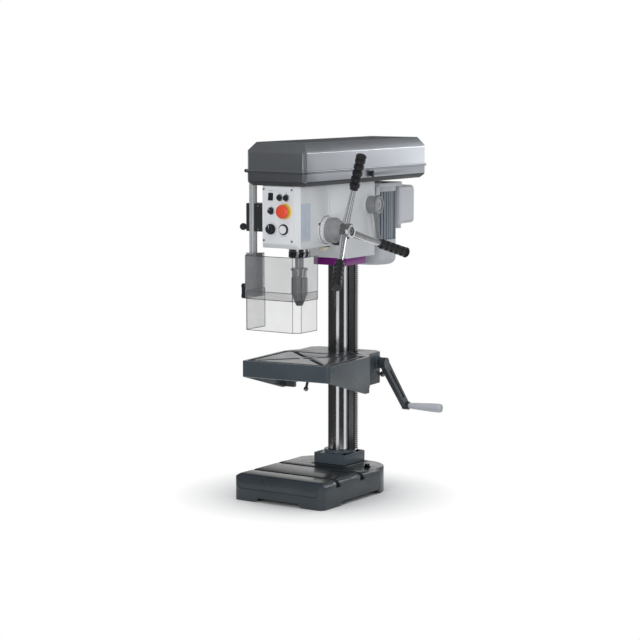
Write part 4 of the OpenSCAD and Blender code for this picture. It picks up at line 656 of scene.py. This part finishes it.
ledge = [(-LEDGE_X, LEDGE_TOP, 1.0, 0.0), (-LEDGE_X, LEDGE_Z + LEDGE_R, 1.0, 0.0)]
ledge += list(ledge_corner(-1))[::-1] + list(ledge_corner(1))
ledge += [(LEDGE_X, LEDGE_TOP, -1.0, 0.0)]
bm = bmesh.new()
last = None
for x, z, nx, nz in ledge:
    ring = [bm.verts.new((x + nx * d, base_front(x + nx * d) - h, z + nz * d)) for d, h in STEP]
    if last:
        for k in range(len(STEP)):
            j = (k + 1) % len(STEP)
            bm.faces.new([last[k], last[j], ring[j], ring[k]])
    else:
        bm.faces.new(ring)
    last = ring
bm.faces.new(last[::-1])
bmesh.ops.remove_doubles(bm, verts=bm.verts, dist=1e-7)
bmesh.ops.recalc_face_normals(bm, faces=bm.faces)
piece("base_front_ledge", bm, "frame", M["base"])

# Floor: white paper that shows the shadow near the base and fades out to the white behind it
WHITE = (1.0, 1.0, 1.0)
FLOOR_R, FLOOR_DROP = 0.60, 0.0006
FADE_START, FADE_END = 0.20, 0.44
bm = bmesh.new()
bmesh.ops.create_circle(bm, cap_ends=True, radius=FLOOR_R, segments=96)
me = bpy.data.meshes.new("floor")
bm.to_mesh(me)
bm.free()
floor = bpy.data.objects.new("floor", me)
floor.location = (0, 0, -FLOOR_DROP)
scene.collection.objects.link(floor)
f = Nodes("floor_paper")
f.set(Base_Color=(0.86, 0.86, 0.86), Roughness=0.95)
far = f.node("ShaderNodeVectorMath", out=1, props={"operation": "LENGTH"}, i0=f.place)
seen = f.rays("Is Camera Ray", "Is Glossy Ray", "Is Transmission Ray")
fade = f.math("MULTIPLY", seen, f.ramp(far, FADE_START, FADE_END))
glow = f.node("ShaderNodeEmission", Color=WHITE)
f.link(f.node("ShaderNodeMixShader", i0=fade, i1=f.bsdf.outputs[0], i2=glow), f.out.inputs[0])
floor.data.materials.append(f.mat)

# World: white to the camera, an even dim light on the object, and to reflections a studio
# of dark walls and white windows
SMOOTH = "SMOOTHSTEP"
# Middle, half width and softness in degrees round the compass, then strength
WINDOWS = ((-77, 13, 4, 1.0), (-1, 12, 4, 1.0), (124, 30, 12, 1.0), (66, 14, 9, 1.0), (-118, 20, 20, 0.05),
           (30, 30, 20, 0.10))
# Heights of a direction, from -1 straight down to 1 straight up
WINDOW_TOP, WINDOW_FOOT, CEILING = (0.26, 0.50), (-0.95, -0.75), (0.55, 0.95)
CEILING_LEVEL = (0.04, 0.08)
AMBIENT, AMBIENT_LEVEL = (0.94, 0.97, 1.0), 0.42
world = bpy.data.worlds.new("studio")
scene.world = world
world.use_nodes = True
w = Tree(world.node_tree)
way = w.node("ShaderNodeTexCoord", out="Generated")
height = w.part(way, AXIS_Z)
compass = w.math("ARCTAN2", w.part(way, AXIS_Y), w.part(way, AXIS_X))
level = None
for centre, half, soft, strength in WINDOWS:
    off = w.math("ABSOLUTE", w.math("SUBTRACT", compass, math.radians(centre)))
    one = w.ramp(off, math.radians(half - soft), math.radians(half + soft), strength, 0.0, SMOOTH)
    level = one if level is None else w.math("MAXIMUM", level, one)
top = w.ramp(height, *WINDOW_TOP, 1.0, 0.0, SMOOTH)
foot = w.ramp(height, *WINDOW_FOOT, 0.0, 1.0, SMOOTH)
level = w.math("MULTIPLY", level, w.math("MULTIPLY", top, foot))
level = w.math("MAXIMUM", level, w.ramp(height, *CEILING, *CEILING_LEVEL, SMOOTH))
ambient = w.node("ShaderNodeBackground", Color=AMBIENT, Strength=AMBIENT_LEVEL)
studio = w.node("ShaderNodeBackground", Color=WHITE, Strength=level)
behind = w.node("ShaderNodeBackground", Color=WHITE, Strength=1.0)
sky = w.node("ShaderNodeMixShader", i0=w.rays("Is Glossy Ray"), i1=ambient, i2=studio)
sky = w.node("ShaderNodeMixShader", i0=w.rays("Is Camera Ray", "Is Transmission Ray"), i1=sky, i2=behind)
w.link(sky, w.tree.nodes.new("ShaderNodeOutputWorld").inputs[0])


# Lamps: three wide ones stay out of reflections, the rim draws the bright lines along the edges
def softbox(name, place, aim, size, power, mirrored):
    light = bpy.data.lights.new(name, "AREA")
    light.shape = "RECTANGLE"
    light.size, light.size_y = size
    light.energy = power
    o = bpy.data.objects.new(name, light)
    scene.collection.objects.link(o)
    o.location = place
    o.rotation_euler = (Vector(aim) - Vector(place)).to_track_quat("-Z", "Y").to_euler()
    o.visible_camera = False
    o.visible_glossy = mirrored


HEAD_MIDDLE = (0, 0, 0.85)
softbox("key", (0.68, -2.95, 1.15), HEAD_MIDDLE, (1.3, 2.3), power=39, mirrored=False)
softbox("right", (3.0, -0.05, 1.15), HEAD_MIDDLE, (1.3, 2.3), power=11, mirrored=False)
softbox("top", (0.1, 0.1, 3.2), (0, 0, 0.6), (2.0, 2.0), power=40, mirrored=False)
softbox("rim", (0.88, 2.44, 1.60), (0.16, -0.05, 0.08), (0.80, 0.40), power=5.5, mirrored=True)

# Camera, solved from the photo's parallel edges
EYE = Vector((3.4705, -5.2424, 1.2994))
LOOK = Vector((-0.5462, 0.8289, -0.1202))
SENSOR_MM, LENS_MM = 36.0, 116.92
cam = bpy.data.cameras.new("camera")
cam.sensor_width = SENSOR_MM
cam.lens = LENS_MM
cam.clip_end = 100
eye = bpy.data.objects.new("camera", cam)
scene.collection.objects.link(eye)
eye.location = EYE
eye.rotation_euler = LOOK.to_track_quat("-Z", "Y").to_euler()
scene.camera = eye
scene.view_settings.view_transform = "Standard"
